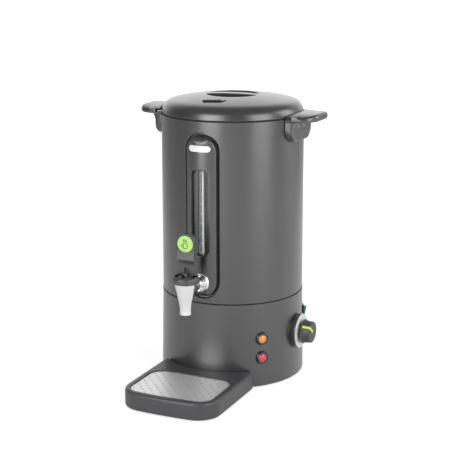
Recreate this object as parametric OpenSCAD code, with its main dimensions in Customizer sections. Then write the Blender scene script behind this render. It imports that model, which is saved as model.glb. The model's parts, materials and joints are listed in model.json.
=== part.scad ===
// Double-walled hot water urn with a front tap, sight gauge, twist-lock lid and drip tray.
// Front is -Y, the knob is on +X, +Z is up. The origin is on the body axis at floor level.

/* [Body] */
// Radius of the painted jacket
body_r = 111; // [106:1:117]
// Thickness of the jacket sheet
jacket_t = 1; // [0.8:0.1:1.4]
// Height of the jacket between base and lid
jacket_h = 278.6; // [262:0.2:300]
// Shadow gap at the seams above and below the jacket
seam_gap = 0.3; // [0.2:0.1:0.6]

/* [Tank] */
// Air gap between the jacket and the tank wall
tank_gap = 7.5; // [7:0.5:9]
// Thickness of the tank sheet
tank_t = 0.8; // [0.6:0.1:1.2]
// Height of the tank floor above the base seam
tank_floor_rise = 15; // [13.5:0.5:18]

/* [Base] */
// Height of the base housing
base_h = 133; // [128:1:142]
// Extra radius of the base at its bottom edge
base_flare = 2.7; // [1.8:0.1:3.3]
// Wall of the base housing
base_t = 2.6; // [2.2:0.1:3.2]
// How far the rubber feet stand out below the housing
foot_proud = 2; // [1.6:0.1:2.2]
// Radius of a rubber foot
foot_r = 9; // [7:0.5:11]

/* [Lid] */
// Height of the lid's rounded shoulder
lid_shoulder_h = 21; // [18:0.5:24]
// Rise of the lid's crown above the shoulder
lid_crown_h = 8.4; // [7:0.2:10]
// Radius at which the shoulder meets the crown
lid_crown_r = 92; // [88:0.5:95]
// Wall of the lid moulding
lid_t = 2.6; // [2.2:0.1:3]
// Radius of the round finger recess
grip_r = 40; // [36:0.5:43]
// Width of the grip bar across the recess
grip_bar_w = 18; // [15:0.5:21]
// Depth of the finger recess below the crown
grip_depth = 14; // [12:0.5:15]
// Turn of the unlocked lid from its locked position, degrees
lid_turn = 11; // [9:0.5:12]

/* [Handles] */
// Reach of a handle beyond the jacket
handle_reach = 38.5; // [35:0.5:44]
// Half of a handle's width
handle_hw = 42.5; // [40:0.5:45]
// Corner radius of a handle, seen from above
handle_corner_r = 28; // [22:0.5:30]
// Thickness of a handle's top plate
handle_t = 11.5; // [10.5:0.5:13]
// Depth of a handle's bracket, from the jacket to its outer face
bracket_t = 4.5; // [4.5:0.5:7]
// Radius of the hollow curve between bracket and plate
bracket_fillet_r = 12; // [9:0.5:13]
// Depth of the bracket below the jacket's top
bracket_drop = 36; // [32:0.5:40]
// Spacing of the two screws of a handle
handle_screw_pitch = 21; // [18:0.5:24]

/* [Gauge panel] */
// Half of the width of the panel's opening in the jacket
opening_hw = 28.3; // [27.5:0.1:30]
// Width of the groove round the raised panel face
groove_w = 4.3; // [3.5:0.1:5]
// Radius of the raised face about its own upright axis
face_r = 38; // [36:0.5:44]
// How far the crest of the raised face stands out from the jacket
face_rise = 10.5; // [9.5:0.5:12]
// Distance of the opening's lower end above the base seam
opening_rise = 7.4; // [7:0.2:10]
// Distance of the opening's upper end below the jacket's top
opening_drop = 15.5; // [13:0.5:18]
// Wall of the panel moulding
panel_t = 2.2; // [2:0.1:2.4]
// Height of the window's lower end above the tap's shank
window_rise = 42.4; // [41:0.2:50]
// Half of the width of the sight window
window_hw = 14.5; // [13:0.5:16]
// Height of the sight window
window_h = 130; // [110:1:140]
// Radius of the sight tube
tube_r = 4.6; // [4:0.1:4.8]
// Bore radius of the sight tube
tube_bore_r = 3.4; // [2.8:0.1:3.5]
// Distance of the sight tube's axis in front of the jacket
tube_front = 3.2; // [2.8:0.1:3.6]
// Width of the badge plate
badge_w = 35; // [30:0.5:38]
// Height of the badge plate
badge_h = 9.6; // [8:0.2:12]

/* [Tap] */
// Distance of the spout's axis in front of the jacket
tap_reach = 57; // [53:0.5:61]
// Height of the tap's shank above the base seam
tap_rise = 35.5; // [34:0.5:38]
// Radius of the tap's shank
shank_r = 8; // [7:0.2:8.6]
// Bore radius of the tap's shank
shank_bore_r = 4.5; // [3.5:0.1:5]
// Radius of the tap barrel at its top
barrel_r = 16; // [15:0.2:17]
// Radius of the spout at its tip
spout_r = 8.8; // [8:0.1:9.5]
// Length of the barrel's taper
taper_h = 35.6; // [33:0.2:38]
// Length of the straight spout below the taper
spout_h = 13.5; // [10:0.5:16]
// Bore radius of the spout
outlet_r = 5.5; // [4.5:0.1:6.5]
// Radius of the black bonnet
bonnet_r = 19.2; // [18.6:0.1:20]
// Height of the bonnet
bonnet_h = 10.4; // [10.4:0.2:12.4]
// Radius of the chrome flange on the panel
flange_r = 14.2; // [13:0.2:15]
// Length of the lever's neck between bonnet and paddle
neck_h = 22.8; // [18:0.2:28]
// Height of the lever's paddle
paddle_h = 41.5; // [36:0.5:50]
// Thickness of the lever's paddle
paddle_t = 10.5; // [9.5:0.5:11.5]
// Half of the width of the lever's paddle
paddle_hw = 14.4; // [13:0.2:16]
// Radius of the round disc on the lever
disc_r = 12.6; // [10:0.2:12.8]
// Radius of the valve stem
stem_r = 2.5; // [2.2:0.1:2.8]

/* [Controls] */
// Height of the temperature knob above the floor
knob_z = 73.8; // [66:0.5:80]
// Radius of the knob's skirt
knob_skirt_r = 19.5; // [18:0.5:22]
// Length of the knob
knob_len = 16; // [14:0.5:20]
// Radius of the dial plate
dial_r = 27; // [25:0.2:28]
// Distance of the dial's face outside the jacket
dial_out = 8; // [7:0.5:10]
// Gap between the dial and the knob
knob_gap = 2.4; // [1.2:0.2:3]
// Width of the knob's coloured pointer
pointer_w = 3.2; // [2.4:0.2:4]
// Radius of the knob's shaft
shaft_r = 3; // [2.5:0.1:3.5]
// Angle of the signal lamps from the front
lamp_az = 47.9; // [42:0.5:54]
// Height of the lower lamp above the floor
lamp_z = 48.6; // [42:0.5:54]
// Spacing of the two lamps
lamp_pitch = 30.4; // [26:0.2:36]
// Radius of a lamp bezel
lamp_r = 10.3; // [9.6:0.1:11]
// Radius of a lamp lens
lens_r = 6.3; // [5.5:0.1:6.6]
// Angle of the rocker switch from the front
switch_az = 115; // [112:1:130]
// Height of the rocker switch above the floor
switch_z = 91; // [84:0.5:100]
// Tilt of the rocker to each side, degrees
rocker_tilt = 7; // [5:0.5:8]
// Bore radius of the cable gland
gland_bore_r = 3.75; // [3:0.05:4.5]

/* [Drip tray] */
// Half of the width of the tray
tray_hw = 77; // [74:0.5:82]
// Reach of the tray in front of the jacket
tray_reach = 137; // [130:1:145]
// Height of the tray
tray_h = 27; // [25:0.5:30]
// Corner radius of the tray
tray_corner_r = 36; // [28:1:38]
// Width of the rim round the grille
rim_w = 10.5; // [9:0.5:12]
// Distance of the grille's back edge in front of the jacket
deck_reach = 30; // [26:1:35]
// Thickness of the grille sheet
grille_t = 1; // [0.8:0.1:1.5]
// Radius of a hole in the grille
hole_r = 1.6; // [1.2:0.1:2]
// Pitch of the grille holes across the tray
hole_pitch = 15; // [13:0.5:20]
// Travel with which the tray pulls out
tray_travel = 60; // [40:5:80]

/* [Hidden] */
$fn = 64;

// Clearances
seat_gap = 0.2;      // between pieces that seat on each other
slip_gap = 0.3;      // round pieces that move or are dropped in
run_gap = 0.05;      // radial gap of a running fit

// Colours
graphite = "#4a4b4d";
black = "#222224";
steel = "#c9cacb";
chrome = "#e6e7e8";
silicone = "#dfe3e4";

// Main levels
base_top = foot_proud + base_h;
jacket_z0 = base_top + seam_gap;
jacket_z1 = jacket_z0 + jacket_h;
tank_rim_z1 = jacket_z1 + seat_gap + tank_t;
tank_floor_z = base_top + tank_floor_rise;
lid_z0 = tank_rim_z1 + seam_gap;
lid_shoulder_z = lid_z0 + lid_shoulder_h;
lid_top = lid_shoulder_z + lid_crown_h;
vent_y = 70.5;
vent_floor = lid_shoulder_z - 1.2;

// Main radii
jacket_in_r = body_r - jacket_t;
tank_r = jacket_in_r - tank_gap;
tank_in_r = tank_r - tank_t;
tank_rim_r = body_r - 1.6;
base_top_r = body_r + 0.4;
base_foot_r = body_r + base_flare;
function base_r_at(z) = base_foot_r - (base_foot_r - base_top_r) * (z - foot_proud) / base_h;

// Gauge panel
opening_z0 = base_top + opening_rise;
opening_z1 = jacket_z1 - opening_drop;
opening_mid = (opening_z0 + opening_z1) / 2;
opening_half = (opening_z1 - opening_z0) / 2;
face_hw = opening_hw - groove_w;
face_half = opening_half - groove_w;
face_crest = body_r + face_rise;
face_axis = face_crest - face_r;
face_corner_r = 14;
groove_floor_r = body_r - 5.5;
panel_back_r = groove_floor_r - panel_t;
tap_z = base_top + tap_rise;
window_z0 = tap_z + window_rise;
window_z1 = window_z0 + window_h;
window_corner = 9;
tube_y = body_r + tube_front;
tube_end = 6;
window_floor = tube_y - tube_r - 1.2;
badge_z = opening_z1 - 23;
seal_r = tube_r + 0.3;
lower_seal_z0 = tap_z + flange_r + 2 * slip_gap;
lower_seal_z1 = window_z0 - tube_end - seat_gap;
upper_seal_z0 = window_z1 + tube_end + seat_gap;
upper_seal_h = 5.6;
port_z1 = lower_seal_z0 + 10;
port_bore_r = 2;

// Tap
tap_y = body_r + tap_reach;
bonnet_z0 = tap_z + 12.1;
barrel_top = bonnet_z0 + 2;
bonnet_z1 = bonnet_z0 + bonnet_h;
taper_z0 = bonnet_z0 - taper_h;
spout_z0 = taper_z0 - spout_h;
well_r = bonnet_r - 4.3;
well_floor = bonnet_z1 - 6;
valve_seat_z = tap_z - 12.5;
chamber_r = barrel_r - 6;
pin_z = bonnet_z1 - 2.6;
pin_r = 1.5;
pivot_y = tap_y + 5.5;
pivot_lobe_r = 3;
fork_hw = 8.4;
fork_top = pin_z + 3.3;
lifter_r = 1.2;
lifter_z = fork_top + lifter_r + seat_gap;
neck_y = 4;
neck_t = 7;
paddle_z0 = bonnet_z1 + neck_h;
paddle_z1 = paddle_z0 + paddle_h;
spot_y = face_axis + sqrt(pow(face_r, 2) - pow(flange_r, 2)) + 0.1;

// Handles
handle_tip = body_r + handle_reach;
bracket_x = body_r + bracket_t;
bracket_hw = handle_hw - 1.5;
bracket_corner_r = 20;
bracket_foot_r = 21;
pad_hw = bracket_hw - 6;
nut_r = 3.8;
nut_face = sqrt(pow(jacket_in_r, 2) - pow(handle_screw_pitch / 2 + nut_r, 2)) - seat_gap;
plate_z0 = jacket_z1 - 3.4;
plate_z1 = plate_z0 + handle_t;
bracket_z0 = jacket_z1 - bracket_drop;
handle_screw_z = jacket_z1 - 13.4;
pad_z1 = handle_screw_z + 7.5;
lug_z0 = lid_z0 + 0.1;
lug_z1 = lug_z0 + 2.5;
lug_r = body_r + 7;
slot_r = body_r + 10;

// Drip tray
tray_front = body_r + tray_reach;
grille_back = body_r + deck_reach;
tray_z0 = foot_proud;
tray_z1 = tray_z0 + tray_h;
tray_back_r = base_foot_r + slip_gap;
grille_z0 = tray_z1 - 2.6;
grille_hw = tray_hw - rim_w;
grille_front = tray_front - rim_w;
grille_corner_r = 20;
basin_step = 4;
front_arc_r = 600;
tray_wall = 2.6;
tip_r = 6;
tip_x = tray_hw - tip_r;
tip_y = sqrt(pow(tray_back_r + tip_r, 2) - pow(tip_x, 2));

// Knob
dial_x = body_r + dial_out;
knob_x0 = dial_x + knob_gap;
bezel_r = dial_r + 1.1;

// ---------- shared helpers ----------

// Places children on the wall at an angle from the front: +Z points outwards, +Y up.
module outward(az, z) rotate([0, 0, az]) translate([0, 0, z]) rotate([90, 0, 0]) children();

// Flat ring or tube
module tube(r_out, r_in, h) difference() {
    cylinder(r = r_out, h = h);
    translate([0, 0, -1]) cylinder(r = r_in, h = h + 2);
}

// Cylinder between two heights
module cylinder_to(r, z0, z1) translate([0, 0, z0]) cylinder(r = r, h = z1 - z0);

// Upright pill: half width and half height
module pill(hw, half) {
    square([2 * hw, 2 * (half - hw)], center = true);
    for (s = [-1, 1]) translate([0, s * (half - hw)]) circle(hw);
}

// Rectangle with round corners about the origin
module round_rect(w, h, r) {
    square([w, h - 2 * r], center = true);
    square([w - 2 * r, h], center = true);
    for (x = [-1, 1], y = [-1, 1]) translate([x * (w / 2 - r), y * (h / 2 - r)]) circle(r);
}

// The panel's opening, as an upright prism that runs out through the front
module opening_prism(hw, half, y0, y1)
    outward(0, opening_mid) translate([0, 0, y0]) linear_extrude(y1 - y0) pill(hw, half);

// Points of a quarter round: centre, radius, start angle
function quarter(cx, cy, r, a0, n = 6) =
    [for (i = [0:n]) let (a = a0 + 90 * i / n) [cx + r * cos(a), cy + r * sin(a)]];

// ---------- shells ----------

module jacket() color(graphite) difference() {
    translate([0, 0, jacket_z0]) tube(body_r, jacket_in_r, jacket_h);
    opening_prism(opening_hw, opening_half, body_r - 20, body_r + 5);
    handle_screw_places() cylinder(r = 2.3, h = body_r * 2, center = true);
}

module inner_tank() color(steel) difference() {
    union() {
        translate([0, 0, tank_floor_z]) cylinder(r = tank_r, h = tank_t);
        translate([0, 0, tank_floor_z]) tube(tank_r, tank_in_r, tank_rim_z1 - tank_floor_z);
        translate([0, 0, tank_rim_z1 - tank_t]) tube(tank_rim_r, tank_in_r, tank_t);
    }
    outward(0, tap_z) cylinder(r = shank_r + seat_gap, h = body_r * 2);
}

module base_housing() color(graphite) difference() {
    rotate_extrude($fn = 96) base_profile();
    for (i = [0, 1]) outward(lamp_az, lamp_z + i * lamp_pitch) {
        translate([0, 0, body_r - 15]) cylinder(r = lamp_neck_r + seat_gap, h = 30);
        translate([0, 0, lamp_seat(i)]) cylinder(r = lamp_r + slip_gap, h = 10);
    }
    outward(90, knob_z) translate([0, 0, body_r - 20]) cylinder(r = 9 + seat_gap, h = 40);
    outward(switch_az, switch_z) translate([0, 0, body_r]) cube([13.2, 19.2, 30], center = true);
    outward(180, gland_z) {
        translate([0, 0, body_r - 20]) cylinder(r = 8 + seat_gap, h = 40);
        translate([0, 0, gland_seat]) cylinder(r = 12, h = 10);
    }
    opening_prism(opening_hw + 6.5, opening_half + 6.5, body_r - 20, jacket_in_r);
    base_screw_places() cylinder(r = 1.9 + run_gap, h = flange_z0() * 4, center = true);
    tray_hooks(slip_gap, 8);
}

// Half section of the base: flared wall, bottom flange, top shelf and locating spigot
module base_profile() {
    spigot_r = jacket_in_r - slip_gap;
    polygon(concat(
        [[base_r_at(foot_proud) - 12, foot_proud + 4.6], [base_r_at(foot_proud) - 12, flange_z0()],
         [base_foot_r - base_t, flange_z0()], [base_foot_r - base_t, foot_proud]],
        [for (p = quarter(base_foot_r - 2, foot_proud + 2, 2, -90)) p],
        [[base_top_r, base_top - 0.8], [base_top_r - 0.8, base_top],
         [spigot_r, base_top], [spigot_r, base_top + 6], [spigot_r - base_t, base_top + 6],
         [spigot_r - base_t, base_top], [spigot_r - 8, base_top], [spigot_r - 8, base_top - base_t],
         [base_top_r - base_t, base_top - base_t], [base_foot_r - base_t, foot_proud + 4.6]]
    ));
}

function flange_z0() = foot_proud + 2.2;
lamp_neck_r = lamp_r - 2.2;
function lamp_seat(i) = base_r_at(lamp_z + i * lamp_pitch) - 0.7;
gland_z = foot_proud + 23;
gland_seat = base_r_at(gland_z) - 0.9;

module base_plate() color(steel) difference() {
    translate([0, 0, plate_under]) cylinder(r = base_foot_r - base_t - slip_gap, h = plate_sheet);
    foot_places() cylinder(r = foot_neck_r + seat_gap, h = 20, center = true);
    base_screw_places() cylinder(r = 2 + seat_gap, h = 20, center = true);
    for (a = [0:30:330]) rotate([0, 0, a]) translate([54, 0, 0])
        linear_extrude(20, center = true) rotate([0, 0, 90]) pill(1.6, 11);
    translate([cutout_pos[0], cutout_pos[1], 0]) cylinder(r = button_r + slip_gap, h = 20, center = true);
}

plate_under = foot_proud + 0.5;
plate_sheet = 1.5;
plate_top = plate_under + plate_sheet;
foot_neck_r = 3;
foot_circle = base_foot_r - 24;
base_screw_circle = base_foot_r - 8;
cutout_pos = [-38, 30];
button_r = 3.4;

module foot_places() for (a = [45:90:315]) rotate([0, 0, a]) translate([foot_circle, 0, 0]) children();
module base_screw_places() for (a = [15:90:285]) rotate([0, 0, a])
    translate([base_screw_circle, 0, 0]) children();

module rubber_feet() color(black) foot_places() {
    cylinder(r = foot_r, h = plate_under - seat_gap / 2);
    cylinder(r = foot_neck_r, h = plate_top + 1);
    translate([0, 0, plate_top + seat_gap / 2]) cylinder(r1 = foot_neck_r + 2, r2 = foot_neck_r - 0.5, h = 3);
}

module base_screws() color(steel) base_screw_places() {
    translate([0, 0, plate_under - 1.4]) cylinder(r1 = 3, r2 = 3.6, h = 1.4 - seat_gap / 2);
    translate([0, 0, plate_under - 1]) cylinder(r = 1.9, h = foot_proud + 4.4 - plate_under);
}

// ---------- gauge panel ----------

// Raised face: convex about an upright axis, with rounded upper and lower ends
module face_solid(inset) intersection() {
    translate([0, -face_axis, 0]) cylinder(r = face_r - inset, h = jacket_z1, $fn = 128);
    opening_prism(face_hw - inset, face_half - inset, panel_back_r, body_r + 20);
    translate([0, 0, opening_mid]) rotate([90, 0, 90]) linear_extrude(body_r, center = true)
        translate([-face_crest / 2, 0])
        round_rect(face_crest - 2 * inset, 2 * (face_half - inset), face_corner_r - inset);
}

module gauge_panel() color(graphite) difference() {
    union() {
        intersection() {
            translate([0, 0, jacket_z0])
                tube(jacket_in_r - seat_gap, jacket_in_r - seat_gap - panel_t, jacket_h);
            opening_prism(opening_hw + 6, opening_half + 6, 60, body_r + 5);
        }
        intersection() {
            translate([0, 0, jacket_z0]) tube(jacket_in_r - seat_gap, panel_back_r, jacket_h);
            opening_prism(opening_hw + 1.8, opening_half + 1.8, 60, body_r + 5);
        }
        face_solid(0);
    }
    // the groove round the face
    difference() {
        opening_prism(opening_hw, opening_half, 60, body_r + 20);
        opening_prism(face_hw, face_half, 60, body_r + 20);
        cylinder(r = groove_floor_r, h = jacket_z1);
    }
    // hollow behind the face, round the window box and the tap's boss
    difference() {
        union() {
            face_solid(panel_t);
            opening_prism(face_hw - panel_t, face_half - panel_t, 60, groove_floor_r);
        }
        window_prism(window_hw + panel_t, window_h / 2 + panel_t, window_floor - panel_t);
        outward(0, tap_z) tube(flange_r + 2, flange_r, body_r + 20);
        outward(0, tap_z) translate([0, 0, spot_y - 3]) cylinder(r = flange_r + 1, h = 20);
    }
    window_prism(window_hw, window_h / 2, window_floor);
    badge_recess();
    outward(0, tap_z) {
        cylinder(r = shank_r + slip_gap, h = body_r + 20);
        translate([0, 0, spot_y]) cylinder(r = flange_r + slip_gap, h = 20);
    }
    translate([0, -tube_y, 0]) {
        translate([0, 0, tap_z]) cylinder(r = tube_bore_r + seat_gap, h = window_z0 - tap_z);
        cylinder_to(seal_r + seat_gap, lower_seal_z0 - seat_gap, upper_seal_z0 + upper_seal_h + seat_gap);
    }
}

module window_prism(hw, half, y0) outward(0, (window_z0 + window_z1) / 2)
    translate([0, 0, y0]) linear_extrude(60) round_rect(2 * hw, 2 * half, window_corner);

// Layer of the raised face between two depths, within the badge's outline
module badge_layer(grow, d_out, d_in) intersection() {
    outward(0, badge_z) translate([0, 0, body_r]) linear_extrude(40)
        rotate([0, 0, 90]) pill(badge_h / 2 + grow, badge_w / 2 + grow);
    translate([0, -face_axis, badge_z - badge_h]) tube(face_r + d_out, face_r + d_in, 2 * badge_h);
}

module badge_recess() badge_layer(seat_gap, 5, -0.7);

module badge_plate() color("#d9dadb") badge_layer(0, 0.5, -0.5);

module sight_tube() color("#cfe4ea", 0.5) translate([0, -tube_y, window_z0 - tube_end])
    tube(tube_r, tube_bore_r, window_h + 2 * tube_end);

module lower_seal() color(silicone) translate([0, -tube_y, 0]) difference() {
    cylinder_to(seal_r, lower_seal_z0, lower_seal_z1);
    cylinder_to(tube_bore_r + seat_gap, lower_seal_z0 - 1, port_z1 + 2);
    cylinder_to(port_bore_r, lower_seal_z0, window_z0);
}

module upper_seal() color(silicone) translate([0, -tube_y, upper_seal_z0])
    tube(seal_r, port_bore_r, upper_seal_h);

// ---------- tap ----------

module tap_body() color(chrome) difference() {
    union() {
        translate([0, -tap_y, 0]) rotate_extrude($fn = 96) polygon([
            [0, spout_z0], [spout_r - 1, spout_z0], [spout_r, spout_z0 + 1], [spout_r + 0.3, taper_z0],
            [spout_r + 1, taper_z0 + 3], [barrel_r - 0.6, bonnet_z0 - 2], [barrel_r, bonnet_z0],
            [barrel_r, barrel_top], [0, barrel_top]]);
        outward(0, tap_z) cylinder_to(shank_r, tank_in_r - 14, tap_y);
        outward(0, tap_z) translate([0, 0, spot_y + 6])
            cylinder(r1 = shank_r, r2 = shank_r + 2, h = tap_y - spot_y - 20);
        translate([0, -tube_y, 0]) cylinder_to(tube_bore_r, tap_z, port_z1);
    }
    translate([0, -tap_y, 0]) {
        translate([0, 0, spout_z0 - 1]) cylinder(r = outlet_r, h = 60);
        translate([0, 0, valve_seat_z]) cylinder(r = chamber_r, h = 40);
    }
    outward(0, tap_z) cylinder(r = shank_bore_r, h = tap_y);
    translate([0, -tube_y, tap_z]) cylinder(r = port_bore_r, h = 60);
}

module tap_flange() color(chrome) outward(0, tap_z) translate([0, 0, spot_y + seat_gap / 2]) difference() {
    rotate_extrude($fn = 96) polygon([[0, 0], [flange_r, 0], [flange_r, 1.2], [flange_r - 1, 2.4],
        [shank_r + 3, 4.4], [shank_r + 1.5, 5.2], [0, 5.2]]);
    translate([0, 0, -1]) cylinder(r = shank_r + run_gap, h = 10);
}

washer_r = shank_r + 5.5;

// Washers follow the curved tank wall, one outside and one inside
module tap_washers() color(silicone) {
    difference() {
        outward(0, tap_z) translate([0, 0, tank_r - 2]) tube(washer_r, shank_r + run_gap, 3.6);
        cylinder(r = tank_r + 0.1, h = jacket_z1, $fn = 128);
    }
    intersection() {
        outward(0, tap_z) translate([0, 0, tank_in_r - 3]) tube(washer_r, shank_r + run_gap, 4);
        cylinder(r = tank_in_r - 0.1, h = jacket_z1, $fn = 128);
    }
}

module tap_nuts() color(steel) outward(0, tap_z) difference() {
    union() {
        translate([0, 0, tank_in_r - 3 - seat_gap / 2 - 6]) cylinder(r = washer_r, h = 6, $fn = 6);
        translate([0, 0, tank_r + 1.6 + seat_gap / 2]) cylinder(r = washer_r, h = 5, $fn = 6);
    }
    translate([0, 0, tank_in_r - 20]) cylinder(r = shank_r + run_gap, h = 40);
}

module tap_bonnet() color(black) translate([0, -tap_y, 0]) difference() {
    rotate_extrude($fn = 96) polygon([[0, bonnet_z0], [bonnet_r - 0.8, bonnet_z0],
        [bonnet_r, bonnet_z0 + 0.8], [bonnet_r, bonnet_z1 - 3], [bonnet_r - 1.2, bonnet_z1 - 0.6],
        [bonnet_r - 2, bonnet_z1], [0, bonnet_z1]]);
    translate([0, 0, well_floor]) cylinder(r = well_r, h = 20);
    cylinder_to(barrel_r + run_gap, bonnet_z0 - 1, barrel_top + seat_gap);
    translate([0, 0, barrel_top]) cylinder(r = stem_r + run_gap, h = 20);
    translate([pin_end + seat_gap, tap_y - pivot_y, pin_z]) rotate([0, -90, 0])
        cylinder(r = pin_r + run_gap, h = 3 * bonnet_r);
}

// Pivot pin of the lever, pressed through the bonnet's rim from the left
pin_end = well_r + 1.2;
module lever_pin() color(steel) translate([pin_end, -pivot_y, pin_z]) rotate([0, -90, 0])
    cylinder(r = pin_r, h = pin_end + sqrt(pow(bonnet_r, 2) - pow(pivot_y - tap_y, 2)) - 1.5);

module tap_stem() color(steel) translate([0, -tap_y, 0]) difference() {
    union() {
        translate([0, 0, valve_seat_z + 1.6]) cylinder(r = stem_r, h = lifter_z + 1.9 - valve_seat_z - 1.6);
        translate([0, 0, valve_seat_z + 6.2]) cylinder(r = stem_r + 2.7, h = 1.4);
    }
    translate([0, 0, lifter_z]) rotate([0, 90, 0]) cylinder(r = lifter_r + run_gap, h = 20, center = true);
}

// Cross pin by which the fork lifts the stem
module lifter_pin() color(steel) translate([0, -tap_y, lifter_z]) rotate([0, 90, 0])
    cylinder(r = lifter_r, h = 15, center = true);

module seat_cup() color(silicone) translate([0, -tap_y, valve_seat_z]) difference() {
    rotate_extrude() polygon([[0, 0.1], [outlet_r + 1, 0.1], [outlet_r + 1.8, 1.4], [outlet_r + 1.8, 3.4],
        [stem_r + 2.4, 6], [0, 6]]);
    translate([0, 0, 1.4]) cylinder(r = stem_r + run_gap, h = 10);
}

// Return spring between the stem's collar and the bonnet
spring_z0 = valve_seat_z + 7.8;
spring_z1 = barrel_top + seat_gap / 2;
module tap_spring() color(steel) translate([0, -tap_y, spring_z0])
    tube(stem_r + 3, stem_r + 1.2, spring_z1 - spring_z0);

// Lever: fork in the bonnet's well, neck and rounded paddle
module tap_lever() color(black) difference() {
    union() {
        translate([-fork_hw, -pivot_y, well_floor + 0.5])
            cube([2 * fork_hw, pivot_y - tap_y + neck_y + neck_t - 0.5, fork_top - well_floor - 0.5]);
        translate([0, -pivot_y, pin_z]) rotate([0, 90, 0])
            cylinder(r = pivot_lobe_r, h = 2 * fork_hw, center = true);
        intersection() {
            translate([0, -tap_y, 0]) rotate([90, 0, 90])
                linear_extrude(4 * paddle_hw, center = true) lever_side();
            translate([0, 0, bonnet_z1 + 0.5]) rotate([90, 0, 0])
                linear_extrude(3 * tap_y, center = true) lever_front();
        }
    }
    translate([-stem_r - 0.7, -tap_y - 20, well_floor - 1])
        cube([2 * stem_r + 1.4, 28, bonnet_z1 - well_floor + 12]);
    translate([0, -pivot_y, pin_z]) rotate([0, 90, 0]) cylinder(r = pin_r + run_gap, h = 40, center = true);
    translate([0, -tap_y + 0.2, disc_z]) rotate([90, 0, 0]) cylinder(r = disc_r + seat_gap, h = 20);
}

disc_z = paddle_z1 - disc_r - 3;

// Side view of the lever: upright neck, hollow underside, curled lip, flat front and rounded top
module lever_side() polygon(concat(
    [[neck_y + neck_t, bonnet_z1], [neck_y + neck_t, paddle_z0 - 6]],
    [[paddle_t, paddle_z0 + 4], [paddle_t, paddle_z1 - 6]],
    quarter(paddle_t - 6, paddle_z1 - 6, 6, 0),
    quarter(2, paddle_z1 - 2, 2, 90),
    [[0, paddle_z0 + 14], [-0.9, paddle_z0 + 8], [-2, paddle_z0 + 2.5]],
    quarter(-0.6, paddle_z0 + 1.4, 1.4, 180),
    [for (i = [1:5]) [-0.6 + (neck_y + 0.6) * sin(18 * i), paddle_z0 - 9 * (1 - cos(18 * i))]],
    [[neck_y, bonnet_z1]]
));

// Front view of the lever above the bonnet: neck, straight-sided paddle and half-round top
module lever_front() {
    top = paddle_z1 - bonnet_z1 - 0.5;
    translate([0, top - paddle_hw]) circle(paddle_hw, $fn = 96);
    translate([-paddle_hw, neck_h - 1]) square([2 * paddle_hw, top - paddle_hw - neck_h + 1]);
    translate([0.6 - paddle_hw, 0]) square([2 * paddle_hw - 1.2, neck_h]);
}

module lever_disc() color("#bdf082") translate([0, -tap_y, disc_z]) rotate([90, 0, 0]) {
    cylinder(r = disc_r, h = 0.8);
    translate([0, 0, 0.8]) cylinder(r1 = disc_r, r2 = disc_r - 0.8, h = 0.5);
}

// ---------- controls ----------

module lamp_places() for (i = [0, 1]) outward(lamp_az, lamp_z + i * lamp_pitch)
    translate([0, 0, lamp_seat(i) + seat_gap / 2]) children();

module lamp_bezels() color(black) lamp_places() difference() {
    union() {
        translate([0, 0, -9]) cylinder(r = lamp_neck_r, h = 10);
        rotate_extrude() polygon([[0, 0], [lamp_r, 0], [lamp_r, 1.2], [lamp_r - 0.5, 2],
            [lens_r + 1, 4], [0, 4]]);
    }
    translate([0, 0, -8]) cylinder(r = lens_r + run_gap, h = 20);
    translate([0, 0, -10]) cylinder(r = lens_r - 1.5, h = 20);
}

module lamp_lens() {
    rotate_extrude() polygon(concat([[0, -7.8], [lens_r, -7.8], [lens_r, 3.6]],
        [for (a = [10:10:80]) [lens_r * cos(a), 3.6 + 2.8 * sin(a)]], [[0, 6.4]]));
}

module amber_lens() color("#e8952f") outward(lamp_az, lamp_z + lamp_pitch)
    translate([0, 0, lamp_seat(1) + seat_gap / 2]) lamp_lens();

module red_lens() color("#e0355a") outward(lamp_az, lamp_z)
    translate([0, 0, lamp_seat(0) + seat_gap / 2]) lamp_lens();

// Base wall as a plain cone, grown by a gap, for pieces that seat on it
module base_cone(grow) translate([0, 0, foot_proud])
    cylinder(r1 = base_foot_r + grow, r2 = base_top_r + grow, h = base_h, $fn = 128);

dial_t = 1.4;
bezel_floor = dial_x - dial_t - seat_gap;
module knob_bezel() color(black) difference() {
    outward(90, knob_z) translate([0, 0, body_r - 16]) {
        translate([0, 0, 6]) cylinder(r = 9, h = 20);
        translate([0, 0, dial_x - body_r + 16.2]) rotate([180, 0, 0]) rotate_extrude($fn = 96)
            polygon([[0, 0], [bezel_r - 0.6, 0], [bezel_r, 0.8], [bezel_r, 24], [0, 24]]);
    }
    difference() {
        base_cone(seat_gap);
        outward(90, knob_z) translate([0, 0, body_r - 10]) cylinder(r = 9, h = 40);
    }
    outward(90, knob_z) {
        translate([0, 0, bezel_floor]) cylinder(r = dial_r + seat_gap, h = 20);
        translate([0, 0, body_r - 20]) tube(dial_r - 2, 9, bezel_floor - 2 - body_r + 20);
        cylinder(r = 5, h = body_r + 20);
    }
}

module dial_plate() color("#f0f0ee") outward(90, knob_z) translate([0, 0, dial_x - dial_t])
    tube(dial_r, 5.6, dial_t);

// Knob body, grown by a gap: flared skirt, tapered grip, rounded front edge
module knob_solid(grow) rotate_extrude($fn = 96) {
    front = knob_len + grow;
    fr = knob_skirt_r - 4.6 + grow;
    polygon([[0, 0], [knob_skirt_r - 0.5 + grow, 0], [knob_skirt_r + grow, 0.8],
        [knob_skirt_r - 2.2 + grow, 3.2],
        [fr + 0.3, front - 2.2], [fr - 0.4, front - 0.7], [fr - 1.8, front], [0, front]]);
}

module pointer_bar(grow) rotate([0, 0, 150]) translate([0, -pointer_w / 2 - grow, 3.6 - grow])
    cube([knob_skirt_r * 2, pointer_w + 2 * grow, knob_len * 2]);

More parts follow.
